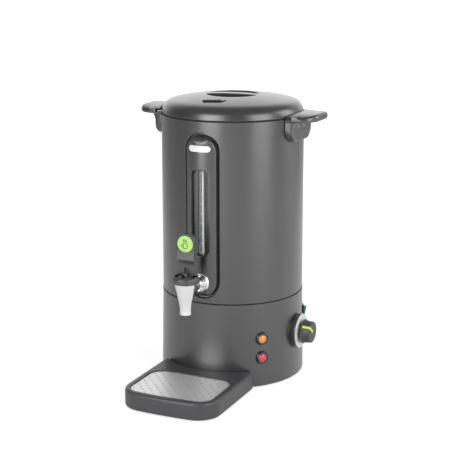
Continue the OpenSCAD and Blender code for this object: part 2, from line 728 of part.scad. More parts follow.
module control_knob() color(black) outward(90, knob_z) translate([0, 0, knob_x0]) difference() {
    knob_solid(0);
    difference() {
        pointer_bar(0.1);
        knob_solid(-0.9);
    }
    translate([0, 0, -1]) cylinder(r = shaft_r + run_gap, h = knob_len - 4);
    translate([0, 0, -1]) tube(knob_skirt_r - 7, shaft_r + 3, knob_len - 3);
}

module knob_pointer() color("#dce84a") outward(90, knob_z) translate([0, 0, knob_x0]) difference() {
    intersection() {
        pointer_bar(0);
        knob_solid(0.3);
    }
    knob_solid(-0.8);
}

module knob_shaft() color(steel) outward(90, knob_z) translate([0, 0, body_r - 14])
    cylinder(r = shaft_r, h = knob_x0 + knob_len - 5.5 - body_r + 14);

stat_front = body_r - 10 - seat_gap;
module thermostat() color("#b9a77a") outward(90, knob_z) difference() {
    union() {
        translate([0, 0, stat_front - 18]) cylinder(r = 17, h = 12);
        translate([0, 0, stat_front - 6.1]) cylinder(r = 12, h = 6.1);
        cylinder_to(4.9, stat_front - 1, bezel_floor - 0.5);
    }
    translate([0, 0, stat_front - 5]) cylinder(r = shaft_r + run_gap, h = 40);
}

// Heat spreader, ring element and thermostat bulb under the tank floor
spreader_z1 = tank_floor_z - seat_gap / 2;
heat_r = 76;
module heat_plate() color("#b5b7ba") difference() {
    translate([0, 0, spreader_z1 - 4]) cylinder(r = heat_r, h = 4);
    translate([0, 0, spreader_z1 - 4]) rotate_extrude() translate([heat_r - 18, 0]) circle(4 + seat_gap / 2);
}

module heating_element() color("#6b6e72") {
    translate([0, 0, spreader_z1 - 4]) rotate_extrude() translate([heat_r - 18, 0]) circle(4);
    for (s = [-1, 1]) translate([s * 9, heat_r - 19.5, spreader_z1 - 22]) cylinder(r = 3, h = 16);
}

capillary_z = spreader_z1 - 8 - seat_gap - 0.9;
module sensor_bulb() color("#b0703f") {
    translate([0, -25, spreader_z1 - 4 - seat_gap / 2 - 3]) rotate([0, 90, 0]) cylinder(r = 3, h = 44);
    translate([43, -25, capillary_z]) rotate([0, 90, 0]) cylinder(r = 0.9, h = stat_front - 18 + 8 - 43);
    translate([stat_front - 18 + 7.2, -25, knob_z]) cylinder(r = 0.9, h = capillary_z - knob_z + 0.9);
    translate([stat_front - 18 + 7.2, -25.9, knob_z]) rotate([-90, 0, 0]) cylinder(r = 0.9, h = 8.6);
}

switch_r = base_r_at(switch_z) - 0.6;
module switch_frame() color(black) difference() {
    outward(switch_az, switch_z) {
        translate([-6.4, -9.4, body_r - 14]) cube([12.8, 18.8, switch_r + 2 - body_r + 14]);
        difference() {
            translate([0, 0, body_r - 4]) linear_extrude(switch_r + 2.9 - body_r + 4) round_rect(16, 23, 2);
            rotate([90, 0, 0])
                cylinder(r = base_r_at(switch_z - 12) + seat_gap, h = 60, center = true, $fn = 128);
        }
    }
    outward(switch_az, switch_z) {
        translate([-5.2, -8.9, body_r - 12]) cube([10.4, 17.8, 40]);
        translate([0, 0, switch_r]) rotate([0, 90, 0]) cylinder(r = 1 + run_gap, h = 12, center = true);
    }
}

module rocker() color("#2e9070") outward(switch_az, switch_z) translate([0, 0, switch_r])
rotate([rocker_tilt, 0, 0]) {
    intersection() {
        rotate([90, 0, 90]) linear_extrude(9.8, center = true)
            polygon([[-9, 5], [0, 3.9], [9, 5.4], [9, -3.5], [-9, -3.5]]);
        rotate([0, 90, 0]) cylinder(r = 8.8, h = 9.8, center = true);
    }
    rotate([0, 90, 0]) cylinder(r = 1, h = 11.8, center = true);
}

module cable_gland() color(black) outward(180, gland_z) translate([0, 0, gland_seat + seat_gap / 2])
difference() {
    union() {
        translate([0, 0, -16]) cylinder(r = 8, h = 17);
        cylinder(r = 11, h = 5, $fn = 6);
        translate([0, 0, 5]) cylinder(r1 = 9.2, r2 = 7.6, h = 9);
    }
    translate([0, 0, -20]) cylinder(r = gland_bore_r, h = 40);
}

module gland_nut() color(black) outward(180, gland_z) translate([0, 0, gland_seat - base_t - 5.6])
difference() {
    cylinder(r = 11, h = 5, $fn = 6);
    translate([0, 0, -1]) cylinder(r = 8 + run_gap, h = 10);
}

module terminal_block() color("#e4e1d8") translate([20, 62, plate_top + seat_gap / 2]) difference() {
    translate([-17, -9, 0]) cube([34, 18, 12]);
    for (i = [-1, 0, 1]) translate([i * 10, 0, 3]) cylinder(r = 2.6, h = 10);
}

module cutout_body() color("#8a5a34")
translate([cutout_pos[0], cutout_pos[1], plate_top + seat_gap / 2]) difference() {
    union() {
        translate([-15, -10, 0]) cube([30, 20, 10]);
        translate([0, 0, 10]) cylinder(r = 9, h = 6);
    }
    translate([0, 0, -1]) cylinder(r = button_r + run_gap, h = 9);
    translate([0, 0, 1]) cylinder(r = button_r + 1.6, h = 5.4);
}

module reset_button() color("#c33b32") translate([cutout_pos[0], cutout_pos[1], 0]) {
    translate([0, 0, plate_under - 0.8]) cylinder(r = button_r, h = 6.8);
    translate([0, 0, plate_top + 1.3]) cylinder(r = button_r + 1.4, h = 1.6);
}

// ---------- handles ----------

module handle_screw_places(sides = [-1, 1]) for (s = sides, y = [-0.5, 0.5])
    translate([0, y * handle_screw_pitch, handle_screw_z]) rotate([0, s * 90, 0]) children();

// Plan of the top plate, drawn in by a margin; it runs inwards past the lid
module plate_layer(z, inset) translate([0, 0, z]) linear_extrude(0.01) {
    r = handle_corner_r - inset;
    centre_x = handle_tip - handle_corner_r;
    for (s = [-1, 1]) translate([centre_x, s * (handle_hw - handle_corner_r)]) circle(r, $fn = 48);
    translate([body_r - 20, -handle_hw + inset]) square([1, 2 * (handle_hw - inset)]);
}

// Side view of the bracket: straight below, curving out under the plate
module bracket_side() polygon(concat(
    [[body_r - 12, bracket_z0], [bracket_x, bracket_z0]],
    [for (a = [180:-10:100]) [bracket_x + bracket_fillet_r * (1 + cos(a)),
        plate_z0 + 0.4 + bracket_fillet_r * (sin(a) - 1)]],
    [[bracket_x + bracket_fillet_r, plate_z0 + 2], [body_r - 12, plate_z0 + 2]]
));

// Bracket with round corners, seen from above and from the front
module bracket() intersection() {
    rotate([90, 0, 0]) linear_extrude(2 * bracket_hw, center = true) bracket_side();
    translate([0, 0, bracket_z0]) linear_extrude(60)
        translate([bracket_x + bracket_fillet_r - 50, 0]) round_rect(100, 2 * bracket_hw, bracket_corner_r);
    rotate([90, 0, 90]) linear_extrude(body_r * 2)
        translate([0, bracket_z0 + 60]) round_rect(2 * bracket_hw, 120, bracket_foot_r);
}

// Right-hand handle; the left one is the same piece turned half round
module handle() difference() {
    union() {
        hull() {
            plate_layer(plate_z0, 2);
            plate_layer(plate_z0 + 0.6, 0.6);
            plate_layer(plate_z0 + 2, 0);
            plate_layer(plate_z1 - 4, 0);
            plate_layer(plate_z1 - 2, 0.6);
            plate_layer(plate_z1 - 0.7, 1.9);
            plate_layer(plate_z1, 4);
        }
        bracket();
    }
    translate([0, 0, bracket_z0 - 5]) cylinder(r = body_r + slip_gap, h = plate_z1, $fn = 128);
    translate([0, 0, jacket_z1 + seat_gap]) cylinder(r = body_r + 2.6, h = 40, $fn = 128);
    difference() {
        translate([0, 0, lug_z0 - 2]) cylinder(r = slot_r, h = lug_z1 - lug_z0 + 2.6);
        translate([0, -8, 0]) cube([200, 16, 600]);
    }
    translate([bracket_x - 0.8, 0, (bracket_z0 + 3 + pad_z1) / 2]) rotate([90, 0, 90])
        linear_extrude(40) round_rect(2 * pad_hw, pad_z1 - bracket_z0 - 3, 13.5);
    handle_screw_places([1]) {
        cylinder(r = 2.3, h = bracket_x * 2);
        translate([0, 0, bracket_x - 3.2]) cylinder(r = 4.4, h = 30);
    }
}

module handle_right() color(graphite) handle();
module handle_left() color(graphite) rotate([0, 0, 180]) handle();

module handle_screws() color(steel) handle_screw_places() {
    translate([0, 0, bracket_x - 3.1]) cylinder(r = 4, h = 2);
    translate([0, 0, jacket_in_r - 5]) cylinder(r = 2, h = bracket_x - 3 - jacket_in_r + 5);
}

module handle_nuts() color(steel) handle_screw_places() difference() {
    translate([0, 0, nut_face - 3]) cylinder(r = nut_r, h = 3, $fn = 6);
    translate([0, 0, jacket_in_r - 8]) cylinder(r = 2 + run_gap, h = 20);
}

// ---------- lid ----------

// Section of the lid's outside, drawn in by a thickness
function lid_section(t) = concat(
    [[0, lid_z0 - 1], [body_r - t, lid_z0 - 1], [body_r - t, lid_z0 + 0.8]],
    [for (a = [7.5:7.5:90]) [
        lid_crown_r - t / 2 + (body_r - t / 2 - lid_crown_r) * pow(cos(a), 1.22),
        lid_z0 + 0.8 + (lid_shoulder_z - t - lid_z0 - 0.8) * pow(sin(a), 1.22)]],
    [for (r = [84:-12:0]) [r, lid_shoulder_z - t + lid_crown_h * (1 - pow(r / lid_crown_r, 2))]]
);

module lid_solid(t) rotate_extrude($fn = 128) polygon(lid_section(t));

module lug_places(a = 27) for (s = [0, 180]) rotate([0, 0, a + s]) children();

// One finger pocket on each side of the grip bar
module grip_pockets(grow) difference() {
    cylinder(r = grip_r + grow, h = 60);
    translate([-grip_r - 5, -grip_bar_w / 2 + grow, -1]) cube([2 * grip_r + 10, grip_bar_w - 2 * grow, 70]);
}

// Outline of the steam vent's recess: long edge toward the centre
module vent_plan(grow) polygon([[-18.5 - grow, 7.5 + grow], [18.5 + grow, 7.5 + grow], [18.5 + grow, 4],
    [13 + grow, -7.5 - grow], [-13 - grow, -7.5 - grow], [-18.5 - grow, 4]]);

module vent_place() translate([0, -vent_y, 0]) rotate([0, 0, lid_turn]) children();

module vent_slots(z0) vent_place() for (y = [-3, 0, 3]) translate([-9, y - 0.75, z0]) cube([18, 1.5, 40]);

module lid_cover() color(graphite) difference() {
    union() {
        intersection() {
            lid_solid(0);
            translate([0, 0, lid_z0]) cylinder(r = body_r + 1, h = 60, $fn = 128);
        }
        intersection() {
            lug_places() translate([body_r - 2, -7, lug_z0]) cube([20, 14, lug_z1 - lug_z0]);
            cylinder(r = lug_r, h = lid_top, $fn = 128);
        }
    }
    difference() {
        lid_solid(lid_t);
        rotate([0, 0, lid_turn]) translate([0, 0, lid_top - grip_depth - lid_t]) grip_pockets(lid_t);
        vent_place() translate([0, 0, vent_floor - lid_t]) linear_extrude(30) vent_plan(2);
        lid_boss_places() cylinder(r = 4.5, h = lid_top);
    }
    rotate([0, 0, lid_turn]) translate([0, 0, lid_top - grip_depth]) grip_pockets(0);
    vent_place() translate([0, 0, vent_floor]) linear_extrude(30) vent_plan(0);
    vent_slots(lid_z0);
    lid_boss_places() translate([0, 0, -1]) cylinder(r = 1.7, h = lid_shoulder_z - 2);
    translate([0, 0, -1]) cylinder(r = 90, h = pan_floor + 1 + seat_gap / 2 + 0.8);
}

module lid_boss_places() for (a = [45:90:315]) rotate([0, 0, a + lid_turn]) translate([78, 0, 0]) children();

// Stainless inner pan with a flange that bears on the seal
seal_z0 = tank_rim_z1 + seat_gap / 2;
seal_h = 3;
pan_floor = lid_z0 - 7;
pan_flange_z = seal_z0 + seal_h + seat_gap / 2;
pan_r = tank_in_r - 4;
module lid_pan() color(steel) difference() {
    rotate_extrude($fn = 96) polygon([[0, pan_floor], [pan_r, pan_floor], [pan_r, pan_flange_z],
        [body_r - 4, pan_flange_z], [body_r - 4, pan_flange_z + 0.8], [pan_r - 0.8, pan_flange_z + 0.8],
        [pan_r - 0.8, pan_floor + 0.8],
        [0, pan_floor + 0.8]]);
    lid_boss_places() cylinder(r = 2.1, h = lid_top);
    vent_slots(lid_z0 - 20);
}

module lid_screws() color(steel) lid_boss_places() {
    translate([0, 0, pan_floor - 1.8]) cylinder(r = 3.4, h = 1.7);
    translate([0, 0, pan_floor - 1]) cylinder(r = 1.6, h = 14);
}

module lid_seal() color(silicone) rotate_extrude($fn = 96) polygon([
    [pan_r + slip_gap, seal_z0 + seal_h], [pan_r + slip_gap, seal_z0 - 5], [tank_in_r - 1, seal_z0 - 5],
    [tank_in_r - 0.3, seal_z0 - 1.2], [tank_in_r - 0.3, seal_z0], [body_r - 5, seal_z0],
    [body_r - 5, seal_z0 + seal_h]]);

// ---------- drip tray ----------

// Plan of the tray, drawn in by a margin: shallow front arc, round corners that touch it
module tray_plan(inset, back, corner) {
    hw = tray_hw - inset;
    arc_y = front_arc_r - tray_front;
    corner_x = hw - corner;
    corner_y = arc_y - sqrt(pow(front_arc_r - inset - corner, 2) - pow(corner_x, 2));
    for (s = [-1, 1]) {
        translate([s * corner_x, corner_y]) circle(corner);
        translate([s * corner_x, -back - corner]) circle(corner);
    }
    translate([-hw, corner_y]) square([2 * hw, -back - corner - corner_y]);
    translate([-corner_x, corner_y]) square([2 * corner_x, -back - corner_y]);
    intersection() {
        translate([0, arc_y]) circle(front_arc_r - inset, $fn = 240);
        translate([-corner_x, corner_y - 2 * corner]) square([2 * corner_x, 2 * corner + 1]);
    }
}

module tray_layer(z, inset) translate([0, 0, z]) linear_extrude(0.01)
    tray_plan(inset, 20, tray_corner_r - inset, $fn = 48);

module tray_hooks(grow, run) for (s = [-1, 1])
    translate([s * 40 - 7 - grow, -base_foot_r + 4 - run, tray_z0 + 7 - grow])
        cube([14 + 2 * grow, 12 + run + grow, 5 + 2 * grow]);

// Region beyond the two round tips where the tray's sides meet the base, less a wall inside them
module tray_tips(wall) for (s = [-1, 1]) difference() {
    polygon([[s * tip_x, -tip_y], [s * (tray_hw + 2), -tip_y], [s * (tray_hw + 2), -tip_y / 2],
        [s * tip_x / 2, -tip_y / 2]]);
    translate([s * tip_x, -tip_y]) circle(tip_r - wall);
}

module drip_tray() color(black) difference() {
    union() {
        difference() {
            hull() {
                tray_layer(tray_z0, 1.2);
                tray_layer(tray_z0 + 1.2, 0);
                tray_layer(tray_z1 - 4.4, 0);
                tray_layer(tray_z1 - 2, 0.7);
                tray_layer(tray_z1 - 0.7, 1.9);
                tray_layer(tray_z1, 4);
            }
            // hollow under the back deck
            difference() {
                translate([-tray_hw + tray_wall, -grille_back - 1, tray_z0 - 1])
                    cube([2 * (tray_hw - tray_wall), grille_back, tray_h + 1 - tray_wall]);
                cylinder(r = tray_back_r + tray_wall, h = tray_z1, $fn = 128);
                linear_extrude(3 * tray_h, center = true) tray_tips(tray_wall);
            }
            cylinder(r = tray_back_r, h = 90, $fn = 128, center = true);
            linear_extrude(3 * tray_h, center = true) tray_tips(0);
        }
        tray_hooks(0, 2);
        for (s = [-1, 1]) translate([s * 48, -tray_front + 30, 0])
            cylinder(r1 = 5, r2 = 6, h = tray_z0 + 0.5);
    }
    translate([0, 0, grille_z0]) linear_extrude(tray_h)
        tray_plan(rim_w, grille_back, grille_corner_r);
    translate([0, 0, tray_z0 + 2.4]) linear_extrude(tray_h)
        tray_plan(rim_w + basin_step, grille_back + basin_step, grille_corner_r - basin_step);
}

module drip_grille() color(steel) translate([0, 0, grille_z0 + seat_gap / 2]) linear_extrude(grille_t)
difference() {
    tray_plan(rim_w + seat_gap, grille_back + seat_gap, grille_corner_r - seat_gap);
    for (i = [-8:8], j = [-3:3]) {
        x = i * hole_pitch / 2;
        y = -mid_row + j * row_pitch + (i % 2 == 0 ? 0 : row_pitch / 2);
        front_margin = abs(i) > 6 ? 10 : 4;
        if (abs(x) < grille_hw - 4 && y < -grille_back - 4 && y > -grille_front + front_margin)
            translate([x, y]) circle(hole_r, $fn = 24);
    }
}

row_pitch = hole_pitch * 1.113;
mid_row = (grille_back + grille_front) / 2;

jacket();
inner_tank();
base_housing();
base_plate();
rubber_feet();
base_screws();
gauge_panel();
badge_plate();
sight_tube();
lower_seal();
upper_seal();
tap_body();
tap_flange();
tap_washers();
tap_nuts();
tap_bonnet();
tap_stem();
lifter_pin();
seat_cup();
tap_spring();
tap_lever();
lever_pin();
lever_disc();
lamp_bezels();
amber_lens();
red_lens();
knob_bezel();
dial_plate();
control_knob();
knob_pointer();
knob_shaft();
thermostat();
sensor_bulb();
heat_plate();
heating_element();
switch_frame();
rocker();
cable_gland();
gland_nut();
terminal_block();
cutout_body();
reset_button();
handle_left();
handle_right();
handle_screws();
handle_nuts();
lid_cover();
lid_pan();
lid_screws();
lid_seal();
drip_tray();
drip_grille();
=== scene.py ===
"""Looks of the hot water urn: finishes, fine pieces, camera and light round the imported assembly.

The scene is in metres, +Z up, -Y front, +X the knob's side; sizes of new pieces are written in
millimetres and scaled once, where their mesh is made.  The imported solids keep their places.  New
pieces are surfaces worked out as whole arrays: profiles turned about an axis, outlines carried
along a path, or a height over a polar grid.  Softly moulded pieces are the solids' own shapes,
meshed anew and relaxed so that their edges are round.
"""
import json
import math

import bmesh
import bpy
import numpy as np
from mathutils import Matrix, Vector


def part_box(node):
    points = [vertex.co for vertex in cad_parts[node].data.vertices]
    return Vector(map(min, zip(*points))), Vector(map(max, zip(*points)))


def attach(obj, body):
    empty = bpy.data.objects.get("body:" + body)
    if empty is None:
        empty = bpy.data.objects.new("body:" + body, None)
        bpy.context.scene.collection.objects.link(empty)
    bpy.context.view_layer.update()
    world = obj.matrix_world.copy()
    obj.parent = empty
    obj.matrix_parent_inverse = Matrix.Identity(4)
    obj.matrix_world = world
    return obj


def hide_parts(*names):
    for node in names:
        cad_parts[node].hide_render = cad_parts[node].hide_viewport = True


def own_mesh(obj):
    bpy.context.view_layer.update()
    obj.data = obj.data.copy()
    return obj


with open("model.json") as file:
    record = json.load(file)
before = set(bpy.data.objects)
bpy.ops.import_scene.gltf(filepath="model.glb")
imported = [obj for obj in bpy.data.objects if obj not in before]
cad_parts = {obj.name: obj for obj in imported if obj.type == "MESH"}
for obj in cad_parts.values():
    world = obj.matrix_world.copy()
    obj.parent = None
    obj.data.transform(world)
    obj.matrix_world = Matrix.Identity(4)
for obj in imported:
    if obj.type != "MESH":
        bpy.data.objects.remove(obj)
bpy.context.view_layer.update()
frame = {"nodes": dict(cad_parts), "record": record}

MM = 0.001

# Sizes that both a finish and a piece use, in millimetres.
SHOULDER_Z = 436.2
CROWN_R = 92.0
CROWN_RISE = 8.4
CROWN_EDGE = 85.0
TAP_Y = -168.0
WELL_R = 15.6

BODY_OF = {node: body for body, nodes in frame["record"]["behaviour"]["bodies"].items() for node in nodes}


# ---------------------------------------------------------------- shader maths

class Value:
    """A node socket that can be used in arithmetic: each operator adds one Math node."""

    def __init__(self, finish, socket):
        self.finish = finish
        self.socket = socket

    def _maths(self, operation, *others):
        return self.finish.node("Math", {"operation": operation}, *others)

    def __add__(self, other):
        return self._maths("ADD", self, other)

    def __sub__(self, other):
        return self._maths("SUBTRACT", self, other)

    def __rsub__(self, other):
        return self._maths("SUBTRACT", other, self)

    def __mul__(self, other):
        return self._maths("MULTIPLY", self, other)

    def __truediv__(self, other):
        return self._maths("DIVIDE", self, other)

    def __pow__(self, other):
        return self._maths("POWER", self, other)

    __radd__ = __add__
    __rmul__ = __mul__

    def clip(self, low=0.0, high=1.0):
        """This value held between two limits."""
        return self.finish.node("Clamp", {}, self, low, high)


class Nodes:
    """A node tree with one method that adds any node and returns its output as a Value."""

    def __init__(self, tree):
        self.tree = tree

    def node(self, kind, settings=None, *values, out=0, **named):
        """Adds a node, sets it up, fills its sockets in order or by name, and returns one output."""
        made = self.tree.nodes.new("ShaderNode" + kind)
        for key, value in (settings or {}).items():
            if key == "stops":
                self._ramp(made.color_ramp, value)
            else:
                setattr(made, key, value)
        for place, value in list(enumerate(values)) + list(named.items()):
            self.fill(made.inputs[place.replace("_", " ") if isinstance(place, str) else place], value)
        return Value(self, made.outputs[out])

    def _ramp(self, ramp, stops):
        while len(ramp.elements) < len(stops):
            ramp.elements.new(0.5)
        for element, (place, colour) in zip(ramp.elements, stops):
            element.position = place
            element.color = colour if len(colour) == 4 else (*colour, 1.0)

    def fill(self, socket, value):
        if isinstance(value, Value):
            self.tree.links.new(value.socket, socket)
        elif isinstance(value, (tuple, list)) and len(socket.default_value) == 4 and len(value) == 3:
            socket.default_value = (*value, 1.0)
        else:
            socket.default_value = value

    def parts(self, vector):
        """The three parts of a vector as values."""
        outs = self.node("SeparateXYZ", {}, vector).socket.node.outputs
        return [Value(self, outs[i]) for i in range(3)]

    def mix(self, factor, low, high):
        """Colour between two others."""
        mixed = self.node("Mix", {"data_type": "RGBA"}, out=2)
        for place, value in ((0, factor), (6, low), (7, high)):
            self.fill(mixed.socket.node.inputs[place], value)
        return mixed


class Finish(Nodes):
    """A material round one Principled shader."""

    def __init__(self, name, **constants):
        self.material = bpy.data.materials.new(name)
        self.material.use_nodes = True
        super().__init__(self.material.node_tree)
        self.shader = self.tree.nodes["Principled BSDF"]
        for socket, value in constants.items():
            self.set(socket.replace("_", " "), value)

    def set(self, socket, value):
        """Sets or links one socket of the Principled shader."""
        self.fill(self.shader.inputs[socket], value)

    def place(self):
        """Object coordinates: the same as the frame's, because every piece sits at the origin."""
        return self.node("TexCoord", {}, out=3)

    def noise(self, scale, detail=2.0, rough=0.5, stretch=None):
        """Noise from 0 to 1, with its pattern stretched along the axes if asked."""
        where = self.place()
        if stretch:
            where = self.node("Mapping", {}, where, (0, 0, 0), (0, 0, 0), stretch)
        return self.node("TexNoise", {}, Vector=where, Scale=scale, Detail=detail, Roughness=rough)

    def bump(self, height, strength, distance):
        """Fine relief on the Normal socket."""
        self.set("Normal", self.node("Bump", {}, Strength=strength, Distance=distance, Height=height))


def srgb(r, g, b):
    """A colour given in display values from 0 to 255, as linear light."""
    v = np.array([r, g, b]) / 255.0
    return tuple(np.where(v <= 0.04045, v / 12.92, ((v + 0.055) / 1.055) ** 2.4).tolist())


# ---------------------------------------------------------------- finishes

def speckled(name, colour, roughness, grain=900.0, depth=0.00006, shade=0.10, **constants):
    """Moulded or sprayed surface: slight cloudiness in colour and gloss, fine grain as relief."""
    f = Finish(name, **constants)
    cloud = f.noise(14.0, 3.0)
    grit = f.noise(grain, 2.0)
    low = tuple(c * (1 - shade) for c in colour)
    high = tuple(min(1.0, c * (1 + shade)) for c in colour)
    f.set("Base Color", f.mix(cloud * 0.6 + grit * 0.4, low, high))
    f.set("Roughness", (roughness - 0.04 + cloud * 0.05 + grit * 0.04).clip())
    f.bump(grit, 0.35, depth)
    return f.material


def sheet_metal(name, colour, roughness, stretch, streak=0.12, **constants):
    """Rolled or brushed metal: long fine streaks in colour, gloss and relief."""
    f = Finish(name, Metallic=1.0, **constants)
    streaks = f.noise(240.0, 3.0, stretch=stretch)
    cloud = f.noise(9.0, 2.0)
    f.set("Base Color", f.mix(streaks, tuple(c * (1 - streak) for c in colour), colour))
    f.set("Roughness", (roughness - 0.05 + streaks * 0.07 + cloud * 0.04).clip())
    f.bump(streaks, 0.12, 0.00003)
    return f.material


def polished(name, colour, roughness=0.05):
    """Chrome plate: nearly clear, with a faint wiping haze."""
    f = Finish(name, Metallic=1.0)
    haze = f.noise(60.0, 4.0)
    f.set("Base Color", f.mix(haze, tuple(c * 0.96 for c in colour), colour))
    f.set("Roughness", (roughness + haze * 0.05).clip())
    return f.material


def clear(name, tint, roughness=0.03):
    """Transparent tube wall with a faint scratch haze."""
    f = Finish(name, IOR=1.47, Transmission_Weight=1.0)
    haze = f.noise(300.0, 3.0, stretch=(1, 1, 0.1))
    f.set("Base Color", f.mix(haze, tint, (1, 1, 1)))
    f.set("Roughness", (haze * 0.04 + roughness).clip())
    return f.material


def lens(name, edge, core, glow=0.0):
    """Moulded lamp lens: deeper colour at its edge, bright core, fine prismatic relief."""
    f = Finish(name, Coat_Weight=0.8, Coat_Roughness=0.04)
    facing = f.node("LayerWeight", {}, 0.45, out=1)
    colour = f.mix(facing, core, edge)
    f.set("Base Color", colour)
    grit = f.noise(700.0, 2.0)
    f.set("Roughness", (grit * 0.12 + 0.16).clip())
    f.set("Emission Color", colour)
    f.set("Emission Strength", glow)
    f.bump(grit, 0.2, 0.0001)
    return f.material


def recess_shaded(name, colour, depth, gloss=1.0, dull=0.0):
    """Smooth graphite outside; where the depth function says that it is sunk, painted shade: nearly black,
    and matt.
    """
    f = Finish(name, IOR=1.7, Coat_Roughness=0.30)
    cloud, grit = f.noise(14.0, 3.0), f.noise(900.0, 2.0)
    sunk = depth(f)
    low, high = tuple(c * 0.95 for c in colour), tuple(c * 1.05 for c in colour)
    open_part = f.mix(cloud * 0.6 + grit * 0.4, low, high)
    # Painted shade: the colour goes to near black where the point is sunk.
    f.set("Base Color", f.mix(sunk, open_part, PAINTED_SHADE_BLACK))
    f.set("Roughness", (cloud * 0.05 + grit * 0.04 + sunk * 0.5 + (0.27 + dull)).clip())
    f.set("Coat Weight", (1 - sunk) * gloss)
    f.bump(grit, 0.35, 0.00004)
    return f.material


def lid_shade_depth(f):
    """How far a point of the lid is sunk below the open crown, from 0 at the surface to 1 at 1.5 mm; it sets
    the painted shade in the finger pockets and the vent.
    """
    x, y, z = f.parts(f.place())
    reach = (x ** 2 + y ** 2) ** 0.5
    crown = (reach / (CROWN_R * MM)) ** 2 * (-CROWN_RISE * MM) + (SHOULDER_Z + CROWN_RISE) * MM
    on_crown = (((CROWN_EDGE - 1.0) * MM - reach) / 0.001).clip()
    return ((crown - z - 0.0002) / 0.0013).clip() * on_crown


def well_shade_mask(f):
    """Whether a point of the tap's cap is in the well round the stem, where painted shade makes it near
    black.
    """
    x, y, _ = f.parts(f.place())
    reach = (x ** 2 + (y - TAP_Y * MM) ** 2) ** 0.5
    return ((WELL_R * MM - reach) / 0.0006).clip()


GRAPHITE = srgb(46, 46, 48)
# Near black painted into recesses to stand for their shade.
PAINTED_SHADE_BLACK = (0.006, 0.006, 0.006)

paint = speckled("graphite_paint", GRAPHITE, 0.32, 1400.0, 0.00003, 0.05, IOR=1.7, Coat_Weight=1.0,
                 Coat_Roughness=0.30)
graphite = speckled("graphite_moulding", GRAPHITE, 0.32, 900.0, 0.00004, 0.05, IOR=1.7, Coat_Weight=1.0,
                    Coat_Roughness=0.30)
lever_grey = speckled("lever_moulding", srgb(68, 68, 70), 0.36, 900.0, 0.00004, 0.05, Coat_Weight=0.4,
                      Coat_Roughness=0.32)
knob_grey = speckled("knob_moulding", srgb(66, 66, 68), 0.40, 900.0, 0.00004, 0.05)
# Lid finish with painted shade: near black in the finger pockets and the vent.
lid_shaded_finish = recess_shaded("lid_moulding_painted_shade", GRAPHITE, lid_shade_depth)
# Tap cap finish with painted shade: near black in the well round the stem.
cap_shaded_finish = recess_shaded("tap_cap_painted_well_shade", srgb(62, 62, 64), well_shade_mask, 0.15, 0.16)
black = speckled("black_moulding", srgb(40, 40, 42), 0.36, 900.0, 0.00005, 0.08)
gloss_black = speckled("gloss_black", srgb(26, 26, 28), 0.14, 900.0, 0.00001, 0.08, Coat_Weight=0.5,
                       Coat_Roughness=0.06)
tray_black = speckled("tray_moulding", srgb(72, 72, 74), 0.34, 700.0, 0.00005, 0.06)
# Near black for the seam beads, which paint the shadow line in the seams.
seam_shade_black = speckled("seam_shade_black", srgb(14, 14, 15), 0.8, 700.0, 0.00003, 0.05)
rubber = speckled("feet_rubber", srgb(28, 28, 28), 0.75, 500.0, 0.0001, 0.10)
silicone = speckled("clear_silicone", srgb(214, 216, 214), 0.40, 300.0, 0.00006, 0.05)
steel = sheet_metal("tank_steel", srgb(205, 206, 208), 0.30, (1, 1, 0.04))
fastener = sheet_metal("fastener_steel", srgb(176, 177, 179), 0.30, (1, 1, 1))
grille_steel = speckled("grille_steel", srgb(244, 244, 245), 0.36, 240.0, 0.00002, 0.03, Metallic=0.6)
zinc = sheet_metal("zinc_sheet", srgb(176, 180, 184), 0.38, (1, 0.3, 1), 0.2)
cast = speckled("cast_aluminium", srgb(178, 180, 182), 0.45, 260.0, 0.0002, 0.08, Metallic=1.0)
sheath = speckled("element_sheath", srgb(112, 114, 118), 0.42, 400.0, 0.0001, 0.12, Metallic=1.0)
brass = speckled("thermostat_brass", srgb(186, 160, 104), 0.34, 300.0, 0.0001, 0.08, Metallic=1.0)
copper = speckled("bulb_copper", srgb(190, 124, 84), 0.32, 300.0, 0.0001, 0.10, Metallic=1.0)
chrome = polished("bright_chrome", srgb(244, 244, 245))
badge_white = speckled("badge_white", srgb(238, 238, 238), 0.30, 1200.0, 0.00002, 0.02, Coat_Weight=0.3)
lime = speckled("disc_lime", srgb(180, 226, 120), 0.30, 900.0, 0.00003, 0.03, Coat_Weight=0.4)
symbol_green = speckled("symbol_green", srgb(60, 92, 44), 0.40, 900.0, 0.00002, 0.05)
pointer_lime = speckled("pointer_lime", srgb(222, 232, 84), 0.34, 900.0, 0.00003, 0.04)
dial_white = speckled("dial_white", srgb(236, 236, 235), 0.42, 900.0, 0.00003, 0.02)
# White of the scale ticks, and of the tube stripe that is partly a painted reflection.
scale_and_reflection_white = speckled("scale_and_reflection_white", srgb(244, 244, 244), 0.35, 900.0, 0.00002, 0.02)
print_grey = speckled("dial_print", srgb(150, 152, 154), 0.45, 900.0, 0.00002, 0.05)
green = speckled("switch_green", srgb(58, 164, 126), 0.26, 900.0, 0.00003, 0.06, Coat_Weight=0.3)
red_button = speckled("button_red", srgb(190, 58, 50), 0.34, 900.0, 0.00003, 0.06)
ceramic = speckled("block_ceramic", srgb(224, 220, 208), 0.50, 300.0, 0.0001, 0.05)
phenolic = speckled("cutout_phenolic", srgb(122, 86, 58), 0.46, 420.0, 0.0001, 0.12)
collar = speckled("lamp_collar", srgb(132, 124, 122), 0.22, 900.0, 0.00002, 0.04, Coat_Weight=0.4)
amber = lens("amber_lens", srgb(214, 110, 10), srgb(232, 150, 50), 0.06)
red = lens("red_lens", srgb(190, 20, 50), srgb(222, 52, 88), 0.06)
tube_clear = clear("tube_clear", (0.93, 0.97, 0.98))

